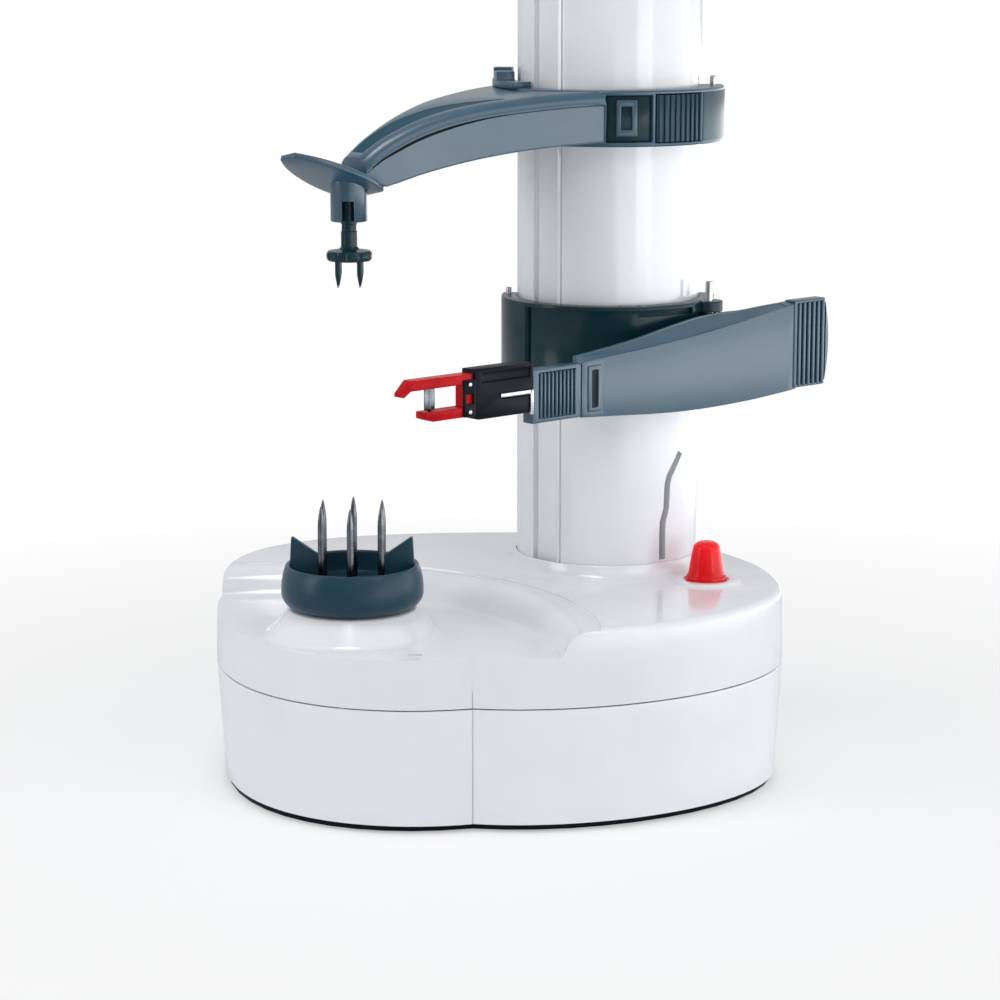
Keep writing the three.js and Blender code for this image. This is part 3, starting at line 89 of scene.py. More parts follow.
# %% [markdown]
# The camera stands in front of the peeler and looks down at it by 11 degrees through a long lens. A long lens
# keeps the upright lines of the column parallel, which is how product photographs are taken.

# %% Camera
bpy.ops.object.camera_add(location=(-0.009816, -1.086076, 0.314), rotation=(math.radians(79), 0, 0))
camera = bpy.context.object
camera.data.lens = 108
camera.data.sensor_width = 36
camera.data.clip_start = 0.01
bpy.context.scene.camera = camera
bpy.context.scene.view_settings.view_transform = "Standard"
print("lens", camera.data.lens)

# %% [markdown]
# Every finish below is a tree of shader nodes, and sums written out node by node are hard to read. A small
# class wraps a socket and overloads + - *, so that a mask can be written as ordinary arithmetic. One method
# makes every other node: its type, its settings first, then the values or links of its sockets.

# %% Shader arithmetic
class Signal:
    """A node's output that can be used in sums."""

    def __init__(self, recipe, socket):
        self.recipe = recipe
        self.socket = socket

    def combine(self, operation, first, second):
        return self.recipe.node("ShaderNodeMath", {"operation": operation}, {0: first, 1: second})

    def __add__(self, other):
        return self.combine("ADD", self, other)

    def __rsub__(self, other):
        return self.combine("SUBTRACT", other, self)

    def __mul__(self, other):
        return self.combine("MULTIPLY", self, other)


class Recipe:
    """The node tree of a material or of the world."""

    def __init__(self, tree):
        self.tree = tree
        tree.nodes.clear()

    def node(self, kind, settings=None, sockets=None, output=0):
        made = self.tree.nodes.new(kind)
        for name, value in (settings or {}).items():
            setattr(made, name, value)
        for name, value in (sockets or {}).items():
            if isinstance(value, Signal):
                self.tree.links.new(value.socket, made.inputs[name])
            else:
                made.inputs[name].default_value = value
        return Signal(self, made.outputs[output]) if made.outputs else made


print("shader arithmetic ready")

# %% [markdown]
# All patterns read Object coordinates, which are metres in the part's own frame, so that they stay put in any
# pose. A noise of scale 300 therefore has spots about 3 mm wide. A few helpers cover what the finishes share:
# the coordinates with an optional stretch, a noise, a ramp that turns a noise into a mask or a number range,
# a tint between two colours, and a bump.

# %% Pattern helpers
def coordinates(recipe, stretch=(1, 1, 1)):
    place = recipe.node("ShaderNodeTexCoord", output=3)
    return recipe.node("ShaderNodeMapping", sockets={"Vector": place, "Scale": stretch})


def noise(recipe, place, scale, detail, roughness=0.5):
    return recipe.node("ShaderNodeTexNoise", sockets={
        "Vector": place, "Scale": scale, "Detail": detail, "Roughness": roughness})


def spread(recipe, signal, low, high, start=0.3, end=0.7, kind="LINEAR"):
    """The signal's middle range, from start to end, stretched to run from low to high."""
    return recipe.node("ShaderNodeMapRange", {"interpolation_type": kind}, {
        "Value": signal, "From Min": start, "From Max": end, "To Min": low, "To Max": high})


def mottle(recipe, signal, low, high):
    """Like spread, but it levels off softly at both ends, so that no outline shows round a patch."""
    return spread(recipe, signal, low, high, 0.2, 0.8, "SMOOTHSTEP")


def tint(recipe, mask, first, second):
    return recipe.node("ShaderNodeMix", {"data_type": "RGBA"}, {
        "Factor": mask, 6: (*first, 1), 7: (*second, 1)}, output=2)


def bump(recipe, height, strength, distance):
    return recipe.node("ShaderNodeBump", sockets={
        "Height": height, "Strength": strength, "Distance": distance})


def surface(name, build, **fixed):
    """A material whose varying sockets come from build(recipe) and whose fixed ones are plain numbers."""
    material = bpy.data.materials.new(name)
    material.use_nodes = True
    recipe = Recipe(material.node_tree)
    sockets = dict(build(recipe))
    for key, value in fixed.items():
        sockets[key.replace("_", " ").title().replace("Ior", "IOR")] = value
    shader = recipe.node("ShaderNodeBsdfPrincipled", sockets=sockets)
    recipe.node("ShaderNodeOutputMaterial", sockets={"Surface": shader})
    return material


print("pattern helpers ready")

# %% [markdown]
# The housing is injection-moulded white ABS with a high polish and a cool, faintly bluish cast. Polished
# moulding is never quite flat: the surface has shallow ripples a few millimetres across, and hands leave soft
# patches where the gloss is a little lower.

# %% White housing plastic
def housing_white(recipe):
    place = coordinates(recipe)
    ripple = noise(recipe, place, 260, 2)
    smears = noise(recipe, place, 28, 4, 0.6)
    dust = noise(recipe, place, 2600, 2)
    return {
        "Base Color": tint(recipe, mottle(recipe, smears, 0, 1), (0.80, 0.815, 0.855), (0.85, 0.86, 0.89)),
        "Roughness": mottle(recipe, smears, 0.1, 0.2) + spread(recipe, dust, 0, 0.05, 0.45, 0.75),
        "Normal": bump(recipe, ripple, 0.05, 0.0004),
    }


white_plastic = surface(
    "white_plastic", housing_white, specular_ior_level=0.5, coat_weight=0.3, coat_roughness=0.04)
print(white_plastic.name)

# %% [markdown]
# The arms and the cup are a slate blue-grey plastic with a satin polish. Its flow during moulding leaves a
# slow variation in tone, and a very fine grain breaks up the highlights. The cup is darker and duller than the
# arms. The carriage's plastic is darker still. Its tone is matched to the carriage's sunk front, which lies in
# shadow, so it carries painted shade as well as the plastic's own dark tone, and it also colours the lining of
# painted shade in the collar's recess. The painted groove shade, for the strips in the arm's groove, hardly
# shines at all.

# %% Slate plastics
def satin_plastic(name, dark, light, gloss, grain, **fixed):
    def build(recipe):
        flow = noise(recipe, coordinates(recipe, (1, 1, 3)), 22, 5, 0.6)
        speck = noise(recipe, coordinates(recipe), 3800, 2)
        return {
            "Base Color": tint(recipe, mottle(recipe, flow, 0, 1), dark, light),
            "Roughness": gloss,
            "Normal": bump(recipe, speck, grain, 0.00008),
        }
    return surface(name, build, **fixed)


slate_plastic = satin_plastic(
    "slate_plastic", (0.024, 0.070, 0.112), (0.034, 0.088, 0.136), 0.28, 0.04,
    specular_ior_level=0.5, coat_weight=0.1)
cup_plastic = satin_plastic(
    "cup_plastic", (0.010, 0.042, 0.066), (0.016, 0.054, 0.082), 0.3, 0.04, specular_ior_level=0.22)
# Painted shade for the strips laid in the arm's groove
painted_groove_shade = satin_plastic(
    "painted_groove_shade", (0.012, 0.056, 0.084), (0.018, 0.070, 0.102), 0.44, 0.04, specular_ior_level=0.03)
# Its dark tone is matched to the carriage's shaded front, so it carries painted shade
dark_slate_plastic = satin_plastic(
    "dark_slate_plastic", (0.005, 0.026, 0.036), (0.009, 0.036, 0.047), 0.2, 0.03,
    specular_ior_level=0.15, coat_weight=0.03)
black_plastic = satin_plastic(
    "black_plastic", (0.004, 0.006, 0.009), (0.008, 0.011, 0.015), 0.34, 0.06, specular_ior_level=0.05)
print(slate_plastic.name, dark_slate_plastic.name, black_plastic.name)

# %% [markdown]
# The start button and the blade's fork are a deep red plastic. On the button a height gradient in the base
# colour paints the top lighter. This painted highlight stands in for the light that a translucent plastic lets
# in, without slow subsurface rays, and a faint emission along the same gradient paints a glow. The fork is the
# same plastic, but its colour is painted deeper in tone as painted shade under the arm, and it has no glow.

# %% Red plastic
def warning_red(recipe):
    place = coordinates(recipe)
    height = recipe.node("ShaderNodeSeparateXYZ", sockets={"Vector": place}, output=2)
    # Painted highlight: the button's top is painted lighter, and the emission below paints a faint glow
    glow = spread(recipe, height, 0, 1, 0.076, 0.087)
    cloud = noise(recipe, place, 120, 4)
    scuff = noise(recipe, place, 900, 3)
    return {
        "Base Color": tint(recipe, glow * 0.8 + cloud * 0.2, (0.62, 0.004, 0.010), (0.93, 0.014, 0.020)),
        "Roughness": spread(recipe, scuff, 0.16, 0.28),
        "Emission Color": tint(recipe, glow, (0.75, 0.004, 0.010), (1.0, 0.012, 0.018)),
        "Normal": bump(recipe, scuff, 0.05, 0.0001),
    }


def cloudy_finish(name, dark, light, cloud, gloss, grain, **fixed):
    """cloud, gloss and grain start with a noise's scale and detail; a range or the bump's size follows."""
    def build(recipe):
        place = coordinates(recipe)
        shade, wear, speck = (noise(recipe, place, *values[:2]) for values in (cloud, gloss, grain))
        return {
            "Base Color": tint(recipe, spread(recipe, shade, 0, 1), dark, light),
            "Roughness": spread(recipe, wear, *gloss[2:]),
            "Normal": bump(recipe, speck, *grain[2:]),
        }
    return surface(name, build, **fixed)


# The button's red also emits a little: a painted glow, brighter at the top
red_plastic = surface("red_plastic", warning_red, specular_ior_level=0.2, emission_strength=0.1)
# The fork's red is the button's red painted darker: painted shade under the arm
fork_red_painted_shade = cloudy_finish(
    "fork_red_painted_shade", (0.40, 0.003, 0.007), (0.58, 0.006, 0.012), (150, 4), (900, 3, 0.2, 0.34),
    (900, 3, 0.05, 0.0001), specular_ior_level=0.08)
print(red_plastic.name, fork_red_painted_shade.name)

# %% [markdown]
# Two steels are needed. Pins, springs and the screw are bright, with turning marks that run round them. The
# prongs are darker, as hardened wire is, with a cloudy oxide that changes both colour and gloss.

# %% Steels
def drawn_steel(name, dark, light, low, high):
    def build(recipe):
        rings = noise(recipe, coordinates(recipe, (1, 1, 40)), 60, 3)
        cloud = noise(recipe, coordinates(recipe), 240, 5, 0.65)
        return {
            "Base Color": tint(recipe, spread(recipe, cloud, 0, 1), dark, light),
            "Roughness": spread(recipe, rings, low, high) + spread(recipe, cloud, 0, 0.06),
            "Normal": bump(recipe, rings, 0.08, 0.00005),
        }
    return surface(name, build, metallic=1.0)


bright_steel = drawn_steel("bright_steel", (0.34, 0.35, 0.37), (0.50, 0.51, 0.53), 0.16, 0.3)
prong_steel = drawn_steel("prong_steel", (0.07, 0.08, 0.09), (0.15, 0.16, 0.18), 0.14, 0.26)
print(bright_steel.name, prong_steel.name)

# %% [markdown]
# Inside the base sit creamy nylon gears, rubber feet under it and a small green circuit board. The board's
# copper tracks show through its lacquer as paler lines, which a brick pattern imitates well.

# %% Nylon, rubber and circuit board
def lacquered_board(recipe):
    place = coordinates(recipe)
    tracks = recipe.node("ShaderNodeTexBrick", sockets={
        "Vector": place, "Scale": 260, "Mortar Size": 0.06, "Color1": (0, 0, 0, 1),
        "Color2": (0.1, 0.1, 0.1, 1), "Mortar": (1, 1, 1, 1)}, output=1)
    return {
        "Base Color": tint(recipe, tracks, (0.010, 0.110, 0.040), (0.060, 0.260, 0.110)),
        "Roughness": spread(recipe, noise(recipe, place, 300, 3), 0.22, 0.36),
        "Normal": bump(recipe, tracks, 0.3, 0.0001),
    }


nylon = cloudy_finish(
    "nylon", (0.72, 0.68, 0.58), (0.80, 0.77, 0.68), (60, 4), (700, 2, 0.42, 0.56), (1800, 2, 0.1, 0.0001))
rubber = cloudy_finish(
    "rubber", (0.010, 0.010, 0.011), (0.024, 0.024, 0.025), (140, 5), (500, 3, 0.72, 0.9),
    (2200, 3, 0.3, 0.0002))
board = surface("board", lacquered_board, coat_weight=0.4)
finishes = {
    "white_gloss": white_plastic, "slate_plastic": slate_plastic, "dark_slate_plastic": dark_slate_plastic,
    "black_plastic": black_plastic, "red_plastic": red_plastic, "black_rubber": rubber, "steel": bright_steel,
    "dark_steel": prong_steel, "nylon": nylon, "board": board,
}
print(len(finishes), "finishes")

# %% [markdown]
# Each CAD node already has a material slot, and the record says which finish that slot takes. Inner pieces
# keep their CAD shape, which is exact, so giving them their finish is all they need.

# %% Finish of every CAD node
slot_of = {entry["node"]: entry["material_slot"] for entry in frame["record"]["subparts"]}
body_of = {node: body for body, nodes in frame["record"]["behaviour"]["bodies"].items() for node in nodes}
for name, node in frame["nodes"].items():
    node.material_slots[0].material = finishes[slot_of[name]]
print(len(slot_of), "nodes finished")

# %% [markdown]
# Outer pieces are modelled again with softer edges. These helpers do what a hand would do between two steps:
# deselect everything, pick faces or edges by a rule, apply a modifier, and hand the piece over to its body.

# %% Modelling helpers
SLACK = 0.00001


def work_on(piece):
    bpy.ops.object.select_all(action="DESELECT")
    piece.select_set(True)
    bpy.context.view_layer.objects.active = piece


def edit_mode():
    """Edit mode on the active piece, with everything selected."""
    bpy.ops.object.mode_set(mode="EDIT")
    bpy.ops.mesh.select_all(action="SELECT")


def object_mode():
    bpy.ops.object.mode_set(mode="OBJECT")


def select_all():
    bpy.ops.mesh.select_all(action="SELECT")


def close_up():
    """Turns all faces outwards and leaves edit mode."""
    select_all()
    bpy.ops.mesh.normals_make_consistent(inside=False)
    object_mode()


def pick(piece, kind, rule):
    """Selects, in edit mode, only the verts, edges or faces that the rule accepts."""
    bpy.ops.mesh.select_mode(type={"verts": "VERT", "edges": "EDGE", "faces": "FACE"}[kind])
    bpy.ops.mesh.select_all(action="DESELECT")
    mesh = bmesh.from_edit_mesh(piece.data)
    for element in [element for element in getattr(mesh, kind) if rule(element)]:
        element.select_set(True)
    bmesh.update_edit_mesh(piece.data)


def near(value, millimetres):
    """Is a coordinate in metres at a place in millimetres, but for the slack?"""
    return abs(value - millimetres * MM) < SLACK


def middle(edge):
    return (edge.verts[0].co + edge.verts[1].co) / 2


def nudge(x, y, z):
    """Moves what is selected, in millimetres."""
    bpy.ops.transform.translate(value=(x * MM, y * MM, z * MM))


def modify(piece, kind, **settings):
    """Adds a modifier and applies it at once."""
    work_on(piece)
    modifier = piece.modifiers.new(kind.title(), kind)
    for name, value in settings.items():
        setattr(modifier, name, value)
    bpy.ops.object.modifier_apply(modifier=modifier.name)


def smooth_to(angle):
    """Shades the active piece smooth, but for edges sharper than the angle."""
    bpy.ops.object.shade_smooth_by_angle(angle=math.radians(angle))


def soften(piece, width, segments=3, angle=30, smooth=35):
    """Bevels the sharp edges by a width in millimetres."""
    modify(piece, "BEVEL", width=width * MM, segments=segments, limit_method="ANGLE",
           angle_limit=math.radians(angle), use_clamp_overlap=False, harden_normals=False)
    smooth_to(smooth)


def repeat(piece, count, step):
    """An Array of the piece, with a step in millimetres."""
    modify(piece, "ARRAY", count=count, use_relative_offset=False, use_constant_offset=True,
           constant_offset_displace=[n * MM for n in step])


def boolean(piece, tool, operation):
    modify(piece, "BOOLEAN", object=tool, operation=operation, solver="EXACT")
    if not piece.data.polygons:
        raise ValueError(f"{tool.name} left nothing of {piece.name}")
    bpy.data.objects.remove(tool)


def cut(piece, tool):
    """Takes the tool's form away from the piece."""
    boolean(piece, tool, "DIFFERENCE")


def join(piece, addition):
    """Makes the piece and the addition one mesh."""
    boolean(piece, addition, "UNION")


def put(piece, turn, place):
    """Turns a piece that was made along X about the vertical and puts it in its place."""
    work_on(piece)
    piece.rotation_euler[2] = math.radians(turn)
    piece.location = place
    bpy.ops.object.transform_apply(location=True, rotation=True)


def attach(piece, node, finish):
    """Gives a piece its finish and lets it ride on the body of a CAD node."""
    piece.data.materials.clear()
    piece.data.materials.append(finish)
    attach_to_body(piece, body_of[node])
    print(piece.name, len(piece.data.polygons), "faces")


def settle(piece, node, finish=None, smooth=None):
    """Puts the piece's place into its mesh and lets it stand for its CAD node."""
    work_on(piece)
    bpy.ops.object.transform_apply(location=True, rotation=True, scale=True)
    if smooth:
        smooth_to(smooth)
    slot = slot_of[node]
    attach(piece, node, finish or finishes[slot])
    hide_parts(node)


print("modelling helpers ready")

# %% [markdown]
# Many small mouldings already have the right shape in CAD and lack only their rounded edges. A copy of the
# node is merged, its flat faces are joined up, and a bevel rounds what is sharp.

# %% Rounded copies of small mouldings
def rounded_copy(node, width):
    """A copy of a CAD node, its edges rounded by a width in millimetres."""
    work_on(frame["nodes"][node])
    bpy.ops.object.duplicate()
    piece = bpy.context.object
    piece.name = node + "_moulding"
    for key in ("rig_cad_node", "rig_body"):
        if key in piece:
            del piece[key]
    piece.parent = None
    edit_mode()
    bpy.ops.mesh.remove_doubles(threshold=SLACK / 2)
    bpy.ops.mesh.dissolve_limited(angle_limit=math.radians(0.5))
    object_mode()
    soften(piece, width, 2)
    settle(piece, node, {
        "blade": prong_steel, "blade_fork": fork_red_painted_shade, "release_grip": cup_plastic}.get(node))


widths = {
    "bottom_cover": 0.2, "power_inlet": 0.3, "lever_pin": 0.25, "yoke_pin": 0.25,
    "collar_pin_left": 0.2, "collar_pin_right": 0.2, "carriage_yoke": 0.5,
    "blade_carrier": 0.35, "blade_fork": 0.35, "blade": 0.08, "collar_yoke": 0.5, "release_grip": 0.2,
}
for node, width in widths.items():
    rounded_copy(node, width)

# %% [markdown]
# The housing's outline is one closed curve of five knots. Four of its stretches are smooth, and the knot at
# the front is a corner, because two round lobes meet there in a crease. A Bezier circle gives the closed
# curve, and its knots are moved to the places that the CAD uses. Made a mesh and filled, it is the floor plan
# to build on.

# %% Outline of the housing
shift = Vector((-9.816, -83.576)) * MM
knots = [
    ((-9.5, 2.5), (-55, -11), (38, -7)),
    ((104.5, 80), (104.5, 30), (104.5, 128)),
    ((5, 175), (70, 175), (-58, 175)),
    ((-105, 104), (-105, 160), (-105.2, 100)),
    ((-105.5, 92), (-105.3, 96), (-105.5, 18)),
]


def outline_plan(name, level):
    """The filled outline at a level, in millimetres."""
    bpy.ops.curve.primitive_bezier_circle_add(radius=0.1)
    piece = bpy.context.object
    piece.name = name
    spline = piece.data.splines[0]
    spline.bezier_points.add(1)
    for point, places in zip(spline.bezier_points, knots):
        point.handle_left_type = point.handle_right_type = "FREE"
        knot, left, right = ((Vector(place) * MM + shift).to_3d() for place in places)
        point.co, point.handle_left, point.handle_right = knot, left, right
    piece.data.resolution_u = 28
    bpy.ops.object.convert(target="MESH")
    edit_mode()
    bpy.ops.transform.translate(value=(0, 0, level * MM))
    bpy.ops.mesh.edge_face_add()
    object_mode()
    return piece


def raise_plan(piece, height, scale=1.0):
    """Extrudes the filled outline into a block, its far end scaled about the middle of the base."""
    work_on(piece)
    edit_mode()
    bpy.ops.mesh.extrude_region_move(TRANSFORM_OT_translate={"value": (0, 0, height * MM)})
    bpy.ops.transform.resize(value=(scale, scale, 1), center_override=(0, 0, 0))
    close_up()


def round_rim(piece, level, radius, segments=6):
    """Bevels the edges that lie at one level."""
    work_on(piece)
    edit_mode()
    pick(piece, "edges", lambda edge: all(near(vertex.co.z, level) for vertex in edge.verts))
    bpy.ops.mesh.bevel(offset=radius * MM, segments=segments, affect="EDGES", clamp_overlap=False)
    object_mode()


print("outline has", len(knots), "knots")

# %% [markdown]
# Turned pieces, such as the cup, the button and the prongs, grow ring by ring. A filled circle is the first
# ring, and each next ring is an extrusion that is moved to its level and scaled to its radius. It is what a
# hand does with E, then G, then S, and it closes by itself at both ends. A radius of zero gathers the last
# ring in a point.

# %% Turned pieces
def turned_piece(name, centre, profile, sides=96, drift=(0, 0)):
    """profile is a list of (radius, level) in millimetres; drift moves the rings aside as they rise."""
    radius, level = profile[0]
    start = level
    bpy.ops.mesh.primitive_circle_add(
        vertices=sides, radius=radius * MM, fill_type="NGON", location=(centre.x, centre.y, level * MM))
    piece = bpy.context.object
    piece.name = name
    bpy.ops.object.transform_apply(location=True)
    edit_mode()
    for next_radius, next_level in profile[1:]:
        step = (next_level - level) * MM
        climb = (next_level - start) * MM
        bpy.ops.mesh.extrude_region_move(
            TRANSFORM_OT_translate={"value": (drift[0] * step, drift[1] * step, step)})
        if next_radius:
            share = next_radius / radius
            bpy.ops.transform.resize(value=(share, share, 1), center_override=(
                centre.x + drift[0] * climb, centre.y + drift[1] * climb, 0))
        else:
            bpy.ops.mesh.merge(type="CENTER")
        radius, level = next_radius, next_level
    close_up()
    return piece


def bore(piece, place, radius, low, high, sides=24):
    """Drills a straight hole from one level to another."""
    cut(piece, turned_piece("bore", place, [(radius, low), (radius, high)], sides=sides))


def pillar(name, place, radius, low, high, edge, sides):
    """A round pillar with a small edge taken off both its ends."""
    return turned_piece(name, place, [
        (radius - edge, low), (radius, low + edge), (radius, high - edge), (radius - edge, high)], sides)


def quarter(radius, level, wide, tall, steps=6, start=0, end=90):
    """Points of a rounded corner: from straight out at start to straight up at end."""
    points = []
    for i in range(steps + 1):
        angle = math.radians(start + (end - start) * i / steps)
        points.append((radius + wide * math.cos(angle), level + tall * math.sin(angle)))
    return points


print("a rounded corner:", [tuple(round(n, 2) for n in point) for point in quarter(10, 0, 2, 2, 2)])

# %% [markdown]
# Boxes and rods are the other plain solids. One box is given by its middle and size and can be turned,
# another by its two corners, and both can have their edges rounded at once.

# %% Boxes and rods
def box_tool(name, centre, size, turn=0.0, rounding=0.0):
    """A box from its middle and size, in millimetres, turned about the vertical."""
    bpy.ops.mesh.primitive_cube_add(size=1, location=[c * MM for c in centre], scale=[n * MM for n in size],
                                    rotation=(0, 0, math.radians(turn)))
    tool = bpy.context.object
    tool.name = name
    bpy.ops.object.transform_apply(location=True, rotation=True, scale=True)
    if rounding:
        soften(tool, rounding, 4)
    return tool


def plain_box(name, low, high, rounding=0.0, segments=3):
    """A box from its low to its high corner, in millimetres."""
    piece = box_tool(name, [(a + b) / 2 for a, b in zip(low, high)], [b - a for a, b in zip(low, high)])
    if rounding:
        soften(piece, rounding, segments)
    return piece


def rod(name, place, radius, length, sides, turn=0.0):
    """A cylinder about a place, tipped over by a turn about X."""
    bpy.ops.mesh.primitive_cylinder_add(vertices=sides, radius=radius * MM, depth=length * MM, location=place,
                                        rotation=(math.radians(turn), 0, 0))
    piece = bpy.context.object
    piece.name = name
    bpy.ops.object.transform_apply(location=True, rotation=True)
    return piece


def open_back(piece, level):
    """Cuts away the half of a collar that lies behind the column's axis."""
    cut(piece, box_tool("behind", (tower.x / MM, tower.y / MM + 31, level), (110, 50, 60)))


print("boxes and rods ready")

# %% [markdown]
# The lower half of the housing is a wall that leans in a little towards the floor, so that it leaves its
# mould. Its plan is filled at the seam, extruded down and scaled, then opened at both ends and given its
# wall. The small bevel at the top is half of the seam's groove.

# %% Lower shell
lower_rim, lower_height, lower_draft, wall = 44.7, 41.7, 0.977, 2.5
seam_bevel = 0.6
lower_shell = outline_plan("lower_shell_wall", lower_rim)
raise_plan(lower_shell, -lower_height, lower_draft)
round_rim(lower_shell, lower_rim, seam_bevel, 3)
edit_mode()
pick(lower_shell, "faces", lambda face: abs(face.normal.z) > 0.99)
bpy.ops.mesh.delete(type="FACE")
object_mode()
modify(lower_shell, "SOLIDIFY", thickness=wall * MM, offset=-1)
inlet_place = Vector((-4.816, 91.4, 22)) * MM
cut(lower_shell, rod("inlet_hole", inlet_place, 4.8, 30, 48, turn=90))


def crease_tool(level, turn):
    """A thin blade along the front crease, which leans with the wall."""
    bpy.ops.mesh.primitive_cube_add(size=1, location=(-19.316 * MM, -80.15 * MM, level * MM),
                                    scale=(0.4 * MM, 0.9 * MM, 80 * MM), rotation=(math.radians(turn), 0, 0))
    return bpy.context.object


cut(lower_shell, crease_tool(23.85, 2.62))
settle(lower_shell, "lower_shell", smooth=24)

# %% [markdown]
# The upper half has two levels. A low block carries the juice tray, and a high block carries the deck. The
# tray is cut out of the high block with a leaning dish that flares at its top, which leaves the deck a round
# lip, and the two blocks are joined. The rims are bevelled before the cut, while their edges are still whole.

# %% Upper shell: the two levels
upper_draft, rim_radius = 0.995, 2.6


def shell_block(name, level):
    """The outline raised from the seam to a level, with both rims rounded."""
    block = outline_plan(name, seam_level)
    raise_plan(block, level - seam_level, upper_draft)
    round_rim(block, level, rim_radius)
    round_rim(block, seam_level, seam_bevel, 3)
    return block


low_block = shell_block("tray_block", tray_level)
upper_shell = shell_block("upper_shell_moulding", deck_level)
tray_centre = Vector((-80.5, 0.5)) * MM + shift
dish = turned_piece("tray_dish", tray_centre, [
    (100.6, 63), (101.6, 63.25), (102.2, 64.0), (102.6, 65.6), (103.1, 67.8), (103.9, 69.5), (105.4, 70.8),
    (107.6, 71.5), (110.0, 71.8), (112.0, 71.8), (113.0, 71.7), (113.25, 71.9), (113.3, 76)],
    sides=160, drift=(2.5 / 9.5, 4.5 / 9.5))
cut(upper_shell, dish)
join(upper_shell, low_block)
print("upper shell", len(upper_shell.data.polygons), "faces")

# %% [markdown]
# On the two levels stand the pedestal under the cup, the plinth round the column and the raised ring round
# the button. Each is turned with a hollow fillet at its foot, joined to the shell, and then bored for what
# passes through.

# %% Upper shell: pedestal, plinth, ring and holes
pedestal = turned_piece("pedestal", turntable, [
    (33, 61), (33, 62.95), (31.6, 63.15), (30.2, 63.7), (29.1, 64.7), (23.6, 71.6), (22.9, 72.2),
    (22.0, 72.45), (10, 72.45)])
plinth = turned_piece("plinth", tower, [
    (41.5, 70), (41.5, 72.45), (40.2, 72.6), (38.6, 73.1), (37.2, 74.0), (36.2, 75.2), (35.4, 76.6),
    (34.9, 77.8), (34.6, 78), (20, 78)])
button_ring = turned_piece("button_ring", button_place, [
    (14, 70), (14, 72.45), (13.3, 72.6), (12.7, 73.0), (12.2, 73.4), (11.5, 73.55), (9, 73.55), (8.4, 73.3),
    (8.2, 72.6), (8.2, 72.2)], sides=64)
cut(upper_shell, crease_tool(11, 1.25))
for boss in (pedestal, plinth, button_ring):
    join(upper_shell, boss)
for place, radius in ((turntable, 7.1), (tower, 34.3), (button_place, 7.8)):
    cut(upper_shell, rod("shell_hole", place + Vector((0, 0, 70)) * MM, radius, 80, 96))
cut(upper_shell, box_tool("drain", (-39.216, -76.176, 67), (5, 2.5, 10.4)))
print("upper shell", len(upper_shell.data.polygons), "faces")

# %% [markdown]
# The shell is a moulding with a wall, not a solid block, so a shallow room is cut out from below.

# %% Upper shell: the room inside
room_floor, room_height, room_share = 40, 20.5, (0.97, 0.966, 1)
low_room = outline_plan("low_room", room_floor)
raise_plan(low_room, room_height)
work_on(low_room)
bpy.ops.transform.resize(value=room_share, center_override=(0, 0, 0))
bpy.ops.object.transform_apply(scale=True)
cut(upper_shell, low_room)
settle(upper_shell, "upper_shell", smooth=24)

# %% [markdown]
# The column is a tall tube with a guide channel down its left front, a slot at the back where the carriage's
# nut reaches through, and a bent cam slot at the lower right that switches the lever out at the bottom of its
# travel. A fine cylinder is cut by each of them. The channel's cutter has rounded edges, so the channel gets
# them too, and a thin line runs down beside it.

# %% Column
def round_tower(radius, angle):
    """A place at that radius, in millimetres, and angle, in degrees, from the column's axis."""
    return (tower.x / MM + radius * math.cos(math.radians(angle)),
            tower.y / MM + radius * math.sin(math.radians(angle)))


channel_angle, line_angle = -135.5, -122.4
column = turned_piece("column_tube", tower, [
    (column_radius, 69), (column_radius, 289.6), (column_radius - 0.4, 290)], sides=144)
cut(column, box_tool("channel", (*round_tower(37.6, channel_angle), 190), (12, 12.2, 300), channel_angle, 0.9))
cut(column, box_tool("line", (*round_tower(column_radius, line_angle), 190), (1.2, 0.7, 300), line_angle))
bore(column, tower, 29, 40, 320, 96)
cut(column, box_tool("drive_slot", (*round_tower(32, 90), 151), (6, 20, 106), 0, 2.4))
print("column", len(column.data.polygons), "faces")

# %% [markdown]
# The cam slot's cutter is drawn as a hand would draw it: one vertex is extruded step by step along the slot's
# middle line, the line is extruded outwards into a ribbon, and Solidify gives the ribbon the slot's width.

# %% Cam slot in the column
bpy.ops.mesh.primitive_plane_add(size=0.01)
cam = bpy.context.object
cam.name = "cam_slot"
edit_mode()
bpy.ops.mesh.select_mode(type="VERT")
select_all()
bpy.ops.mesh.merge(type="CENTER")
slot_radius, slot_reach, slot_width = 28, 1.4, 2.9
path = [(79, -54.2), (88, -54.2), (93, -54), (95.5, -52.6), (98, -51.2), (103, -50.8), (107, -50.4),
        (110, -49), (112.5, -46), (115.5, -42.2), (118.5, -38.4)]
here = Vector((0, 0, 0))
for level, angle in path:
    there = Vector((*round_tower(slot_radius, angle), level)) * MM
    if here.length:
        bpy.ops.mesh.extrude_vertices_move(TRANSFORM_OT_translate={"value": there - here})
    else:
        bpy.ops.transform.translate(value=there)
    here = there
bpy.ops.mesh.select_mode(type="EDGE")
select_all()
bpy.ops.mesh.extrude_edges_move(TRANSFORM_OT_translate={"value": (0, 0, 0)})
bpy.ops.transform.resize(value=(slot_reach, slot_reach, 1), center_override=(tower.x, tower.y, 0))
close_up()
modify(cam, "SOLIDIFY", thickness=slot_width * MM, offset=0)
print("cam slot", len(cam.data.polygons), "faces")
cut(column, cam)
settle(column, "column", smooth=28)

# %% [markdown]
# One more kind of solid comes up again and again: a piece of a ring round the column. It is one upright edge,
# spun through its sector into a wall that Solidify makes thick.

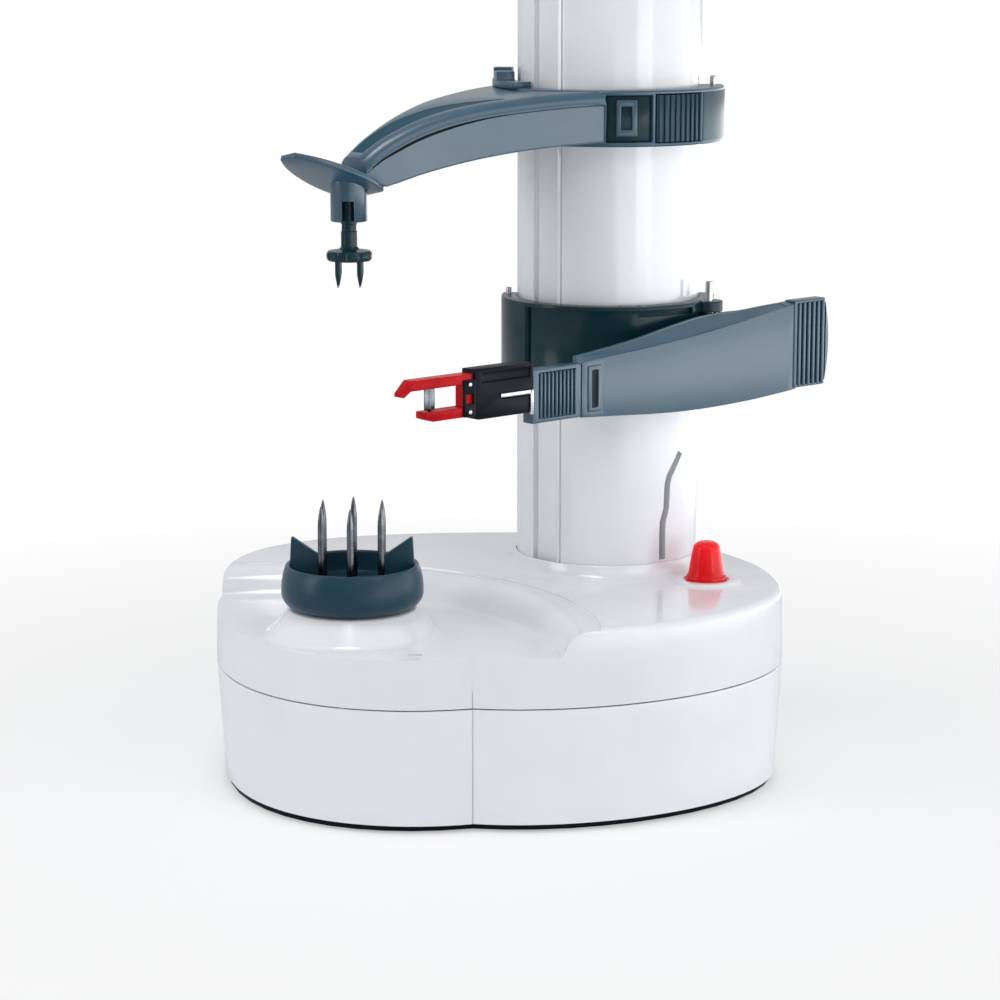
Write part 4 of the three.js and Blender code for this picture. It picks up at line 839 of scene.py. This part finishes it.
# %% Pieces of a ring
def ring_sector(name, inner, outer, start, end, low, high, steps=12):
    """A piece of a ring, from a start to an end angle and from a low to a high level."""
    radius = (inner + outer) / 2
    place = Vector((*round_tower(radius, start), low)) * MM
    bpy.ops.mesh.primitive_plane_add(size=0.001, location=place)
    piece = bpy.context.object
    piece.name = name
    bpy.ops.object.transform_apply(location=True)
    edit_mode()
    bpy.ops.mesh.select_mode(type="VERT")
    select_all()
    bpy.ops.mesh.merge(type="CENTER")
    bpy.ops.mesh.extrude_vertices_move(TRANSFORM_OT_translate={"value": (0, 0, (high - low) * MM)})
    bpy.ops.mesh.select_mode(type="EDGE")
    select_all()
    bpy.ops.mesh.spin(steps=steps, angle=math.radians(start - end), center=tower, axis=(0, 0, 1))
    select_all()
    bpy.ops.mesh.remove_doubles(threshold=SLACK / 10)
    close_up()
    modify(piece, "SOLIDIFY", thickness=(outer - inner) * MM, offset=0, use_even_offset=True)
    return piece


print("rings ready")

# %% [markdown]
# The cap closes the column with a shallow dome. Its edge is rounded, and a thin groove marks where it is
# pushed on.

# %% Column cap
cap = turned_piece("column_cap_dome", tower, [
    (28, 285), (28, 290.3), (33.5, 290.3), (34, 290.8), *quarter(22, 293.6, 12, 6.4, 10), (12, 300), (0, 300)])
settle(cap, "column_cap", smooth=30)

# %% [markdown]
# The start button is a tall red thimble with a flange that keeps it under the ring. It narrows upwards and
# ends in a dome, which a quarter circle of rings gives it.

# %% Start button
button = turned_piece("start_button_thimble", button_place, [
    (2.4, 67.3), (2.4, 72.8), (7.5, 72.8), (7.5, 74.4), (7.35, 74.7), (6.9, 75.0), (6.6, 75.8), (6.2, 78.4),
    (5.75, 81.2), (5.3, 83.8), *quarter(1.4, 84.6, 3.7, 2.9, 9)[:-1], (1.4, 87.5), (0, 87.5)], sides=64)
settle(button, "start_button", smooth=35)

# %% [markdown]
# The cup is the turning seat. Its wall curves in at the bottom, its rim is thin and rounded, and the floor
# inside has a soft corner. Two fins stand on it, one at each side, and six small collars hold the prongs. A
# fin starts as a box, whose inner end is lowered and whose point is drawn up and rounded.

# %% Turntable cup
cup = turned_piece("turntable_cup_bowl", turntable, [
    (4.2, 76.6), (4.2, 72.8), (19.4, 72.8), *quarter(20.4, 78.3, 5, 5.5, 8, -90, 0), (25.35, 80.6), (25.1, 83),
    (24.6, 85.4), (23.9, 87.4), (23.6, 87.95), (23.1, 88.2), (22.5, 88.1), (22.1, 87.6), (22.3, 84),
    (22.4, 82.2), (22.1, 80.9), (21.1, 80.1), (19.6, 79.8), (0, 79.8)])
for side in (1, -1):
    fin = box_tool("fin", turntable / MM + Vector((side * 16.3, 0, 88)), (12.6, 3, 17))
    edit_mode()
    pick(fin, "verts", lambda v: v.co.z > 90 * MM and side * (v.co.x - turntable.x) < 14.5 * MM)
    nudge(0, 0, -6.3)
    pick(fin, "verts", lambda v: v.co.z > 94 * MM)
    nudge(-side, 0, 1.7)
    pick(fin, "edges", lambda edge: min(v.co.z for v in edge.verts) > 97 * MM)
    bpy.ops.mesh.bevel(offset=1.1 * MM, segments=4, affect="EDGES")
    object_mode()
    soften(fin, 0.45)
    join(cup, fin)
print("cup", len(cup.data.polygons), "faces")

# %% [markdown]
# A small collar rises from the cup's floor round each prong, and a hole in it takes the prong's foot.

# %% Collars of the prongs
prong_circle = 12.2
prong_places = [around(turntable, prong_circle, 30 + 60 * i) for i in range(6)]
for place in prong_places:
    collar = turned_piece("collar", place, [
        (2.6, 79.4), (2.6, 80.6), (2.4, 80.9), (2.1, 81), (0.5, 81)], sides=24)
    join(cup, collar)
    bore(cup, place, 1.5, 77.2, 84)
settle(cup, "turntable_cup", cup_plastic, smooth=32)

# %% [markdown]
# The prongs are steel wire, ground to a long point. One is turned at the first place, and each of the others
# is a copy with its own mesh, moved to its place.

# %% Prongs
first_prong = turned_piece("prong_wire_1", prong_places[0], [
    (1.25, 77.6), (1.25, 102.5), (1.16, 104.2), (0.9, 106.6), (0.5, 108.8), (0.18, 109.8), (0, 110)], sides=24)
prongs = [first_prong]
for place in prong_places[1:]:
    work_on(first_prong)
    bpy.ops.object.duplicate()
    bpy.ops.transform.translate(value=place - prong_places[0])
    prongs.append(bpy.context.object)
for number, prong in enumerate(prongs, 1):
    prong.name = f"prong_wire_{number}"
    settle(prong, f"prong_{number}", smooth=40)

# %% [markdown]
# The lever is a long bowed bar that swings on the carriage. It is modelled level, along X, with its front
# face towards -Y, and turned into place at the end. A box is cut into stations with bisect, and at each
# station the top edge is moved to the crest's height, lower in front than behind, so that the top face leans
# back. Each table below gives a value at a few places along the bar, and a smooth curve runs through them.

# %% Lever: the bar
lever_turn = 41.7
bar_low, bar_high, bar_waist = (-55.9, -45.4, 139), (55.4, -40.4, 159.6), 150
crest = [(-55.9, 159.6), (-28.1, 161.4), (1, 163.9), (27.5, 167.2), (47.7, 170.2), (61.7, 172), (70.5, 172)]
keel = [(-55.9, 139.7), (-37, 138.4), (-19, 137.1), (1, 136.3), (27.5, 136.7), (47.7, 137.9), (61.7, 139),
        (70.5, 139)]
lean = [(-55.9, 1.7), (-28.1, 3.1), (-8, 4.9), (6, 5.5), (16, 4.9), (27.5, 3.2), (40, 2), (55.4, 0.5),
        (70.5, 0.5)]


def along(table, x):
    """The value at x in a table of (x, value) rows, on a smooth curve through its points."""
    last = len(table) - 2
    i = min(last, max(0, sum(x >= row[0] for row in table) - 1))
    before, first, second, after = (table[min(max(k, 0), last + 1)] for k in (i - 1, i, i + 1, i + 2))
    t = (x - first[0]) / (second[0] - first[0])
    start = (second[1] - before[1]) / (second[0] - before[0]) * (second[0] - first[0])
    end = (after[1] - first[1]) / (after[0] - first[0]) * (second[0] - first[0])
    return ((2 * t ** 3 - 3 * t ** 2 + 1) * first[1] + (t ** 3 - 2 * t ** 2 + t) * start
            + (3 * t ** 2 - 2 * t ** 3) * second[1] + (t ** 3 - t ** 2) * end)


def evenly(start, end, steps):
    """Values from start to end, equal steps apart."""
    return [start + (end - start) * i / steps for i in range(steps + 1)]


def slice_across(axis, places):
    """Cuts the mesh in edit mode at right angles to an axis, 0 for X to 2 for Z, at places in millimetres."""
    direction = Vector([float(i == axis) for i in range(3)])
    for place in places:
        select_all()
        bpy.ops.mesh.bisect(plane_co=direction * place * MM, plane_no=direction)


lever = plain_box("peel_lever_bar", bar_low, bar_high)
stations = evenly(bar_low[0], bar_high[0], 20)
edit_mode()
slice_across(0, stations[1:-1])
slice_across(1, [-41.8])
for x in stations:
    pick(lever, "verts", lambda v: near(v.co.x, x) and v.co.z < bar_waist * MM)
    nudge(0, 0, along(keel, x) - bar_low[2])
    pick(lever, "verts", lambda v: near(v.co.x, x) and v.co.z > bar_waist * MM)
    nudge(0, 0, along(crest, x) - bar_high[2])
    pick(lever, "verts", lambda v: near(v.co.x, x) and v.co.z > bar_waist * MM and v.co.y > -42 * MM)
    nudge(0, 0, along(lean, x))
pick(lever, "faces", lambda face: face.normal.y < -0.3 and face.normal.z > 0.25)
bpy.ops.mesh.inset(thickness=0.4 * MM, depth=-0.4 * MM)
object_mode()
soften(lever, 0.3, angle=24)
print("bar", len(lever.data.polygons), "faces")

# %% [markdown]
# Behind its front the bar is hollow, with thin walls across to keep it stiff, and two ears hold the hinge
# pin. At the front end a tall window shows the latch, and a raised frame runs round it.

# %% Lever: rooms, ears and window
pin_x, pin_y = 15.02, -38.3
pin_place = Vector((pin_x, pin_y, 0)) * MM
ear_radius = 4.3
for left, right in ((-45.5, -26), (-24.4, -3), (-1.4, 9.2), (20.9, 34), (35.6, 52)):
    roof = min(along(crest, left), along(crest, right)) - 2.4
    cut(lever, plain_box("room", (left, -42.6, 142.4), (right, -30, roof)))
for low, high in ((142.7, 146.7), (162.3, 165.3)):
    ear = pillar("ear", pin_place, ear_radius, low, high, 0.2, 40)
    join(ear, plain_box("web", (pin_x - ear_radius, -44, low), (pin_x + ear_radius, pin_y, high)))
    join(lever, ear)
bore(lever, pin_place, 3.35, 165.4, 180, 32)
bore(lever, pin_place, 1.75, 130, 180, 32)
join(lever, plain_box("window_frame", (-53.1, -45.85, 141.2), (-46.4, -44, 158), 0.4))
cut(lever, plain_box("window", (-51.4, -50, 142.7), (-48.1, -30, 156.5), 0.5))
print("lever", len(lever.data.polygons), "faces")

# %% [markdown]
# The thumb pad is thicker than the bar, and its free end bulges. One rounded rib is modelled and an Array
# modifier repeats it across the pad.

# %% Lever: thumb pad
pad_low, pad_high, pad_middle, bulge = 139, 172, 155.5, 2.4
pad = plain_box("thumb_pad", (53.4, -45.9, 139), (70.5, -40.4, 172.2))
edit_mode()
pick(pad, "edges", lambda edge: middle(edge).x < 54 * MM and middle(edge).y < -45 * MM
     and abs(middle(edge).z - pad_middle * MM) < MM)
bpy.ops.mesh.bevel(offset=0.5 * MM, segments=1, affect="EDGES")
levels = evenly(pad_low, pad_high, 12)[1:-1]
slice_across(2, levels)
for level in levels:
    pick(pad, "verts", lambda v: v.co.x > 70 * MM and near(v.co.z, level))
    nudge(bulge * (1 - ((level - pad_middle) / 16.6) ** 2), 0, 0)
object_mode()
soften(pad, 0.6, 4, angle=40)
cut(pad, plain_box("sunk", (54.9, -50, 139.9), (70.9, -44.5, 171.2), 0.4, 2))
rib = plain_box("rib", (55.6, -46.3, 139.6), (57.1, -44.2, 171.5), 0.55, 4)
repeat(rib, 6, (2.58, 0, 0))
join(pad, rib)
join(lever, pad)
put(lever, lever_turn, tower)
settle(lever, "peel_lever", smooth=32)

# %% [markdown]
# The clamp is the latch block between the lever and the blade's carrier. A band of fine upright ribs gives
# grip.

# %% Blade clamp
clamp = plain_box("blade_clamp_block", (-79.6, -45.4, 140), (-56.2, -40.4, 159.2), 0.45)
cut(clamp, plain_box("panel", (-76.6, -47, 141.3), (-58.6, -44.9, 157.9), 0.3, 2))
rib = plain_box("rib", (-76.2, -46, 141.6), (-75.2, -44.4, 157.6), 0.35)
repeat(rib, 10, (1.83, 0, 0))
join(clamp, rib)
put(clamp, lever_turn, tower)
settle(clamp, "blade_clamp", smooth=32)

# %% [markdown]
# A bent steel clip lies in the carrier's slot and turns down along its right end, where it keeps the
# cartridge shut. Left of the carrier a black cheek with a square hole clasps the fork's root, held by two
# steel pins.

# %% Cartridge: clip, cheek and pins
clip = plain_box("carrier_clip", (-95.4, -46.9, 151.2), (-80.2, -46.1, 152.6))
join(clip, plain_box("leg", (-81.6, -46.9, 143.8), (-80.2, -46.1, 152.5)))
cheek = plain_box("cartridge_cheek", (-111.9, -46.4, 146), (-106.7, -45.5, 158.8))
cut(cheek, plain_box("hole", (-110.9, -48, 150.4), (-107.6, -44, 153.8)))
pins = rod("cartridge_pins", Vector((-109.3, -46.3, 157.2)) * MM, 0.75, 0.9, 24, turn=90)
repeat(pins, 2, (0, 0, -9.6))
for piece, slot, finish in (
        (clip, "steel", bright_steel), (cheek, "black_plastic", black_plastic),
        (pins, "steel", bright_steel)):
    soften(piece, 0.2, 2)
    put(piece, lever_turn, tower)
    attach(piece, "blade_carrier", finish)

# %% [markdown]
# The carriage is a ring round the column. Its front is sunk between a thin top rim and a bead at the left,
# and the lever's room is cut from below the rim. At the right it carries the hinge: an ear above and a lug
# below.

# %% Carriage
carriage = turned_piece("carriage_ring", tower, [
    (39.3, 147), (39.8, 147.2), (40, 147.7), (40, 174.3), (39.8, 174.8), (39.3, 175), (30, 175)], sides=128)
hinge = pin_place.copy()
hinge.rotate(Euler((0, 0, math.radians(lever_turn))))
hinge += tower
cut(carriage, ring_sector("sunk_front", 38.2, 46, -141, -41, 148.6, 173.4))
room = plain_box("swing_room", (-120 - pin_x, -120 - pin_y, 140), (-2.15, -39.5 - pin_y, 171))
put(room, lever_turn - 10, hinge)
cut(carriage, room)
bore(carriage, hinge, 5.8, 162, 171, 48)
join(carriage, pillar("ear", hinge, 5.2, 171, 175, 0.4, 48))
join(carriage, pillar("lug", hinge, 4.3, 147, 162, 0.4, 48))
bead = turned_piece("bead", Vector((*round_tower(38.9, -141.8), 0)) * MM, [
    (0.9, 147.3), (1.1, 147.6), (1.1, 174.4), (0.9, 174.7)], sides=24)
join(carriage, bead)
bore(carriage, tower, sliding_radius, 140, 180, 128)
open_back(carriage, 161)
bore(carriage, hinge, 1.7, 140, 180, 32)
bore(carriage, tower + Vector((-37.2, 2.6, 0)) * MM, 1.4, 140, 180)
soften(carriage, 0.25, 2, angle=50, smooth=34)
settle(carriage, "carriage")

# %% [markdown]
# The upper arm grows out of a collar round the column. Its beam is modelled along X from the column's axis:
# one section is extruded from station to station, and each time it is moved and scaled to the widths and
# heights of the real beam, which thins and droops towards its tip.

# %% Upper arm: the beam
arm_turn = math.degrees(math.atan2(turntable.y - tower.y, turntable.x - tower.x))
half_widths = [(26, 33.6), (42, 28.6), (60, 22.6), (78, 16.6), (95, 11.6), (110, 8.8), (118.5, 7.6)]
crowns = [(26, 253), (42, 252.4), (60, 251), (78, 248.6), (95, 244.2), (110, 237.6), (118.5, 232)]
floors = [(26, 235), (42, 234.2), (60, 232.6), (78, 229.8), (95, 226), (110, 222), (118.5, 221)]
beam_start, beam_end = crowns[0][0], crowns[-1][0]
root_half, root_floor, root_crown = half_widths[0][1], floors[0][1], crowns[0][1]
arm_stations = evenly(beam_start, beam_end, 22)
beam = plain_box(
    "upper_arm_beam", (beam_start - 2, -root_half, root_floor), (beam_start, root_half, root_crown))
edit_mode()
pick(beam, "faces", lambda face: face.normal.x > 0.9)
for x, ahead in zip(arm_stations, arm_stations[1:]):
    low, high = along(floors, x), along(crowns, x)
    next_low, next_high = along(floors, ahead), along(crowns, ahead)
    bpy.ops.mesh.extrude_region_move(TRANSFORM_OT_translate={
        "value": ((ahead - x) * MM, 0, (next_low + next_high - low - high) / 2 * MM)})
    bpy.ops.transform.resize(
        value=(1, along(half_widths, ahead) / along(half_widths, x), (next_high - next_low) / (high - low)),
        center_override=(ahead * MM, 0, (next_low + next_high) / 2 * MM))
print("beam stations", len(arm_stations))

# %% [markdown]
# The two long top edges are then bevelled into broad shoulders. Each side face is inset a little and pushed
# in, which leaves the thin shadow line under the shoulder. The crown gets the long groove that a finger feels,
# and a crease runs under the shoulder. Their cutters follow the beam: a bar is sliced into stations, and each
# station is scaled and moved by a rule. Two thinner bars of the same kind are kept as dark strips that fill
# the groove and the crease: painted shade, standing in for the shadow that lies in them.

# %% Upper arm: shoulders, side panels, groove and room
def beam_edge(edge):
    """Is it one of the long edges of the beam's crown?"""
    run = edge.verts[1].co - edge.verts[0].co
    x = max(beam_start, middle(edge).x / MM)
    return abs(run.x) > 0.5 * MM and middle(edge).z > (along(crowns, x) + along(floors, x)) / 2 * MM


shoulder, panel_depth, crease_drop = 4.6, 0.45, 4.8
pick(beam, "edges", beam_edge)
bpy.ops.mesh.bevel(offset=shoulder * MM, segments=5, affect="EDGES", clamp_overlap=False)
for side in (1, -1):
    pick(beam, "faces", lambda face: face.normal.y * side > 0.8 and face.calc_center_median().x > 30 * MM
         and face.calc_area() > 10 * MM * MM)
    bpy.ops.mesh.inset(thickness=0.5 * MM, depth=-panel_depth * MM)
object_mode()


def beam_bar(name, low, high, scale, place):
    """A long bar along the beam, scaled and moved at each station x by the rules scale(x) and place(x)."""
    bar = plain_box(name, low, high)
    bar_stations = evenly(low[0], high[0], 14)
    edit_mode()
    slice_across(0, bar_stations[1:-1])
    for x in bar_stations:
        pick(bar, "verts", lambda v: near(v.co.x, x))
        bpy.ops.transform.resize(value=scale(x), center_override=(0, 0, 0))
        nudge(*place(x))
    object_mode()
    return bar


groove_line = [(62, 14.6), (73, 8.8), (83, 4.0), (98, 0.6), (112, -0.6), (116, -0.8)]
groove_halves = [(62, 0.5), (68, 2.4), (73, 3.9), (83, 5.3), (98, 5.0), (112, 3.5), (116, 3.1)]
crease_halves = [(66, 0.12), (80, 0.4), (94, 0.62), (108, 0.6), (116, 0.2)]


def groove_bar(name, depth, tall):
    """A bar on the beam's crown, its underside at a depth below it."""
    start, end = groove_line[0][0], groove_line[-1][0]
    return beam_bar(name, (start, -1, 0), (end, 1, tall), lambda x: (1, along(groove_halves, x), 1),
                    lambda x: (0, along(groove_line, x), along(crowns, x) - depth))


def crease_bar(name, low, high):
    """A bar under the beam's shoulder, which reaches from low to high beside the sunk side panel."""
    start, end = crease_halves[0][0], crease_halves[-1][0]

    def place(x):
        return 0, along(half_widths, x) - panel_depth, along(crowns, x) - crease_drop - along(crease_halves, x)
    return beam_bar(name, (start, low, -1), (end, high, 1), lambda x: (1, 1, along(crease_halves, x)), place)


cut(beam, groove_bar("groove", 2.4, 12))
crease = crease_bar("crease", -0.9, 3)
# Dark strips of painted shade, laid in the groove and the crease
painted_shade_strips = [groove_bar("arm_groove_painted_shade", 2.6, 2.3), crease_bar("arm_crease_painted_shadow", -1.2, -0.4)]
room = plain_box("beam_room", (46, -24.6, 205), (104, 24.6, 243.4))
edit_mode()
pick(room, "verts", lambda v: v.co.x > 100 * MM)
bpy.ops.transform.resize(value=(1, 0.3, 1), center_override=(104 * MM, 0, 0))
pick(room, "verts", lambda v: v.co.x > 100 * MM and v.co.z > 240 * MM)
nudge(0, 0, -13.2)
object_mode()
cut(beam, room)
print("beam", len(beam.data.polygons), "faces")

# %% [markdown]
# The beam's tip ends under the thumb tab, so what rises above the tab's leaning plane is cut away. Then the
# beam is turned towards the turntable and joined to the collar, which is bored for the column and halved for
# its yoke. A sunk frame with a blank plate sits beside the release grip, and a seat on each side takes a pin
# of the yoke. The crease is cut last, after the edges are bevelled, so that its own edges stay crisp.

# %% Upper arm: tip and collar
tab_root, tab_level, tab_slope, tab_roll = 112.6, 218.4, 23, 13


def lean_as_tab(piece):
    """Puts a piece that was made level at the tab's root and leans it as the tab leans."""
    work_on(piece)
    piece.rotation_euler = (math.radians(tab_roll), math.radians(-tab_slope), 0)
    piece.location = (tab_root * MM, 0, tab_level * MM)
    bpy.ops.object.transform_apply(location=True, rotation=True)
    return piece


for piece in (beam, crease, *painted_shade_strips):
    cut(piece, lean_as_tab(plain_box("tip_tool", (-0.3, -14, -9.3), (45, 14, 2.3))))
    put(piece, arm_turn, tower)
upper_arm = turned_piece("upper_arm_moulding", tower, [
    (42.0, 233), (42.6, 233.6), (42.6, 252.4), (42.0, 253), (35, 253)], sides=120)
join(upper_arm, beam)
bore(upper_arm, tower, sliding_radius, 225, 260, 120)
open_back(upper_arm, 243)
cut(upper_arm, ring_sector("grip_pocket", 36.5, 50, -69, -40, 234.3, 251.7))
cut(upper_arm, ring_sector("plate_recess", 40.4, 50, -93.6, -70.5, 234.6, 251.4))
join(upper_arm, ring_sector("plate", 40, 42.4, -88.6, -78.2, 236.8, 249.8))
cut(upper_arm, ring_sector("plate_middle", 40, 50, -86.2, -80.8, 239.2, 247.4))
pin_reach = 38.4
for x in (-pin_reach, pin_reach):
    cut(upper_arm, turned_piece("pin_seat", tower + Vector((x, 0, 0)) * MM, [
        (1.5, 246), (1.5, 254.6), (2.1, 255.4), (2.1, 262)], sides=24))
soften(upper_arm, 0.3, 2, angle=50, smooth=34)
cut(upper_arm, crease)
settle(upper_arm, "upper_arm", smooth=34)

# %% [markdown]
# A clip at the left holds the collar's pin between two ears, a dark lining of painted shade lines the recess
# beside the grip, and a thin sleeve of the cup's duller plastic covers the collar's right end. These three,
# and the two dark strips of painted shade in the beam's groove and crease, are pieces of their own that ride
# with the arm.

# %% Collar: clip, shade lining, sleeve and shade strips
clip = ring_sector("collar_clip", 36, 43.4, 166, 216, 252.7, 255.2, steps=16)
join(clip, ring_sector("ear_behind", 36.3, 43.1, 167, 175, 254, 259.2, steps=4))
join(clip, ring_sector("ear_ahead", 36.3, 43.1, 186, 195, 254, 258.4, steps=4))
bore(clip, tower - Vector((pin_reach, 0, 0)) * MM, 1.7, 246, 262)
# A dark lining of painted shade in the recess beside the grip
shade_lining = ring_sector("collar_recess_painted_shade", 40.35, 41.0, -93.3, -70.8, 234.9, 251.1)
sleeve = ring_sector("collar_sleeve", 42.3, 42.75, -39.3, 6, 234.2, 251.8, steps=24)
for piece, slot, width, finish in (
        (clip, "slate_plastic", 0.35, slate_plastic), (shade_lining, "dark_slate_plastic", 0.1, dark_slate_plastic),
        (sleeve, "dark_slate_plastic", 0.1, cup_plastic), (painted_shade_strips[0], "dark_slate_plastic", 0, painted_groove_shade),
        (painted_shade_strips[1], "black_plastic", 0, black_plastic)):
    if width:
        soften(piece, width, 2, angle=50)
    attach(piece, "upper_arm", finish)

# %% [markdown]
# The thumb tab is a thin leaf that leans up and outwards, slightly cupped so that a thumb stays on it. A
# plate is bisected into strips both ways, its stations are scaled to the leaf's widths, and its middle is
# lowered.

# %% Thumb tab: the leaf
leaf_halves = [(0, 8.9), (5, 11.3), (11.1, 12.4), (18, 12.0), (25.9, 10.0), (32, 7.2), (37, 3.6)]
leaf_length, hollow = 37, 0.55
tab = plain_box("thumb_tab_leaf", (0, -1, 0), (leaf_length, 1, 2))
edit_mode()
leaf_stations = evenly(0, leaf_length, 14)
slice_across(0, leaf_stations[1:-1])
slice_across(1, evenly(-1, 1, 8)[1:-1])
for y in evenly(0, 1, 4)[:-1]:
    pick(tab, "verts", lambda v: near(abs(v.co.y), y) and 2 * MM < v.co.x < 36 * MM)
    nudge(0, 0, -hollow * (1 - y * y))
for x in leaf_stations:
    pick(tab, "verts", lambda v: near(v.co.x, x))
    bpy.ops.transform.resize(value=(1, along(leaf_halves, x), 1), center_override=(x * MM, 0, 0))
object_mode()
soften(tab, 0.5, 3, angle=50, smooth=50)
lean_as_tab(tab)
print("leaf", len(tab.data.polygons), "faces")

# %% [markdown]
# Under the leaf hangs the open socket that the spindle clips into. Its top is cut off along the leaf's
# underside.

# %% Thumb tab: the socket
reach = (tower - turntable).length / MM
axis = Vector((reach, 0, 0)) * MM
socket = turned_piece("socket", axis, [(6.1, 210), (6.4, 210.3), (6.4, 224.4)], sides=64)
cut(socket, lean_as_tab(plain_box("socket_top", (-30, -20, 1.0), (45, 20, 20))))
join(tab, socket)
mouth = plain_box("mouth", (0, -2.1, 205), (14, 2.1, 217.4))
put(mouth, -arm_turn - 90, axis)
cut(tab, mouth)
bore(tab, axis, 3.3, 200, 219.7, 48)
put(tab, arm_turn, tower)
settle(tab, "thumb_tab", smooth=45)

# %% [markdown]
# The spindle hangs in the socket and turns freely. Its head is a small wheel with a milled edge, and four
# short spikes point down from it.

# %% Spindle
spindle = turned_piece("top_spindle_wheel", turntable, [
    (5.4, 196), (7.4, 196.3), (8, 197.2), (8, 198.8), (7.4, 199.7), (5.6, 200), (3.6, 200.3), (2.85, 201.2),
    (2.85, 206.4), (2.6, 206.7), (2.6, 208.9), (2.85, 209.2), (2.85, 218.9), (2.4, 219.4)], sides=64)
spike_circle, notch_circle = 5.4, 8.6
for i in range(4):
    spike = turned_piece("spike", around(turntable, spike_circle, 45 + 90 * i), [
        (0.12, 187), (0.5, 188.6), (0.8, 190.4), (1.0, 191.6), (1.0, 197)], sides=20)
    join(spindle, spike)
for i in range(12):
    bore(spindle, around(turntable, notch_circle, 30 * i), 1.1, 194, 202, 16)
settle(spindle, "top_spindle", smooth=35)

# %% [markdown]
# The studio is a pale floor that runs out of sight. To the camera its far part is white, and it still takes
# the part's shadow. The world gives most of the light: bright overhead, grey to the sides.

# %% Floor and light
bpy.ops.mesh.primitive_plane_add(size=12, location=(0, 0, 0))
floor = bpy.context.object
floor.name = "studio_floor"
floor_material = bpy.data.materials.new("studio_floor")
floor_material.use_nodes = True
floor_material.cycles.emission_sampling = "NONE"
ground = Recipe(floor_material.node_tree)
shaded = ground.node("ShaderNodeBsdfDiffuse", sockets={"Color": (0.93, 0.93, 0.94, 1)})
paper = ground.node("ShaderNodeEmission", sockets={"Color": (1, 1, 1, 1), "Strength": 1.0})
card_glow = ground.node("ShaderNodeEmission", sockets={"Color": (0.95, 0.98, 1, 1), "Strength": 3.0})
seen = ground.node("ShaderNodeLightPath", output=0)
mirrored = ground.node("ShaderNodeLightPath", output=3)
spot = ground.node("ShaderNodeTexCoord", output=3)
distance = ground.node("ShaderNodeVectorMath", {"operation": "LENGTH"}, {0: spot}, output=1)
fade = spread(ground, distance, 0.45, 1.0, 0.12, 0.5)
rightward = ground.node("ShaderNodeSeparateXYZ", sockets={"Vector": spot}, output=0)
zone = spread(ground, distance, 0, 1, 0.45, 0.62) * spread(ground, rightward, 0, 1, 0.15, 0.4)
glowing = ground.node("ShaderNodeMixShader", sockets={"Fac": mirrored * zone, 1: shaded, 2: card_glow})
floor_mix = ground.node("ShaderNodeMixShader", sockets={"Fac": seen * fade, 1: glowing, 2: paper})
ground.node("ShaderNodeOutputMaterial", sockets={"Surface": floor_mix})
floor.data.materials.append(floor_material)

world = bpy.data.worlds.new("studio")
bpy.context.scene.world = world
world.use_nodes = True
sky = Recipe(world.node_tree)
direction = sky.node("ShaderNodeTexCoord", output=0)
across, toward, up = (
    sky.node("ShaderNodeSeparateXYZ", sockets={"Vector": direction}, output=axis) for axis in range(3))


def band(signal, low, high, soft):
    """1 between low and high, falling softly to 0 outside."""
    rise = spread(sky, signal, 0, 1, low - soft, low, "SMOOTHSTEP")
    fall = spread(sky, signal, 1, 0, high, high + soft, "SMOOTHSTEP")
    return rise * fall


flag = band(across, -0.92, -0.25, 0.12) * band(toward, -1.0, 0.1, 0.15)
overhead = spread(sky, up, 0.38, 0.66, 0.0, 0.8)
edges = band(across, 0.72, 2.0, 0.25) + band(across, -2.0, -0.93, 0.08)
card = band(across, 0.5, 2.0, 0.2) * band(up, -1.0, 0.2, 0.15)
gleam = spread(sky, up, 0.42, 0.9, -0.3, 0.6) * (1 - flag * 0.6) + edges * 0.4 + card * 0.2
studio = sky.node("ShaderNodeBackground", sockets={
    "Color": (0.96, 0.98, 1.0, 1), "Strength": overhead * (1 - flag * 0.3)})
shine = sky.node("ShaderNodeBackground", sockets={"Color": (0.98, 0.99, 1.0, 1), "Strength": gleam})
white = sky.node("ShaderNodeBackground", sockets={"Color": (1, 1, 1, 1), "Strength": 1.0})
camera_ray = sky.node("ShaderNodeLightPath", output=0)
glossy_ray = sky.node("ShaderNodeLightPath", output=3)
clear_ray = sky.node("ShaderNodeLightPath", output=6)
lit = sky.node("ShaderNodeMixShader", sockets={"Fac": glossy_ray, 1: studio, 2: shine})
open_view = sky.node("ShaderNodeMath", {"operation": "MAXIMUM"}, {0: camera_ray, 1: clear_ray})
backdrop = sky.node("ShaderNodeMixShader", sockets={"Fac": open_view, 1: lit, 2: white})
sky.node("ShaderNodeOutputWorld", sockets={"Surface": backdrop})


def softbox(name, place, target, size, power):
    """A flat lamp that faces its target, its size in metres and its power in watts."""
    bpy.ops.object.light_add(type="AREA", location=place)
    lamp = bpy.context.object
    lamp.name = name
    lamp.data.shape = "RECTANGLE"
    lamp.data.size, lamp.data.size_y = size
    lamp.data.energy = power
    lamp.rotation_euler = (Vector(target) - Vector(place)).to_track_quat("-Z", "Y").to_euler()
    return lamp


softbox("key_softbox", (0.8, -0.8, 1.0), (0, 0, 0.12), (0.6, 0.7), 2.5)
softbox("right_card", (0.62, -0.08, 0.17), (0, -0.03, 0.17), (0.8, 0.32), 1.1)
softbox("arm_card", (0.81, -0.84, 0.17), (-0.03, 0, 0.24), (0.4, 0.22), 0.9)
tray_lamp = softbox("tray_light", (-0.1, -0.12, 0.62), (-0.05, -0.05, 0.06), (0.16, 0.16), 0.06)
tray_lamp.data.spread = math.radians(50)
softbox("left_strip", (-1.15, -0.45, 0.6), (0, 0, 0.12), (0.4, 1.1), 5)
print("studio ready")
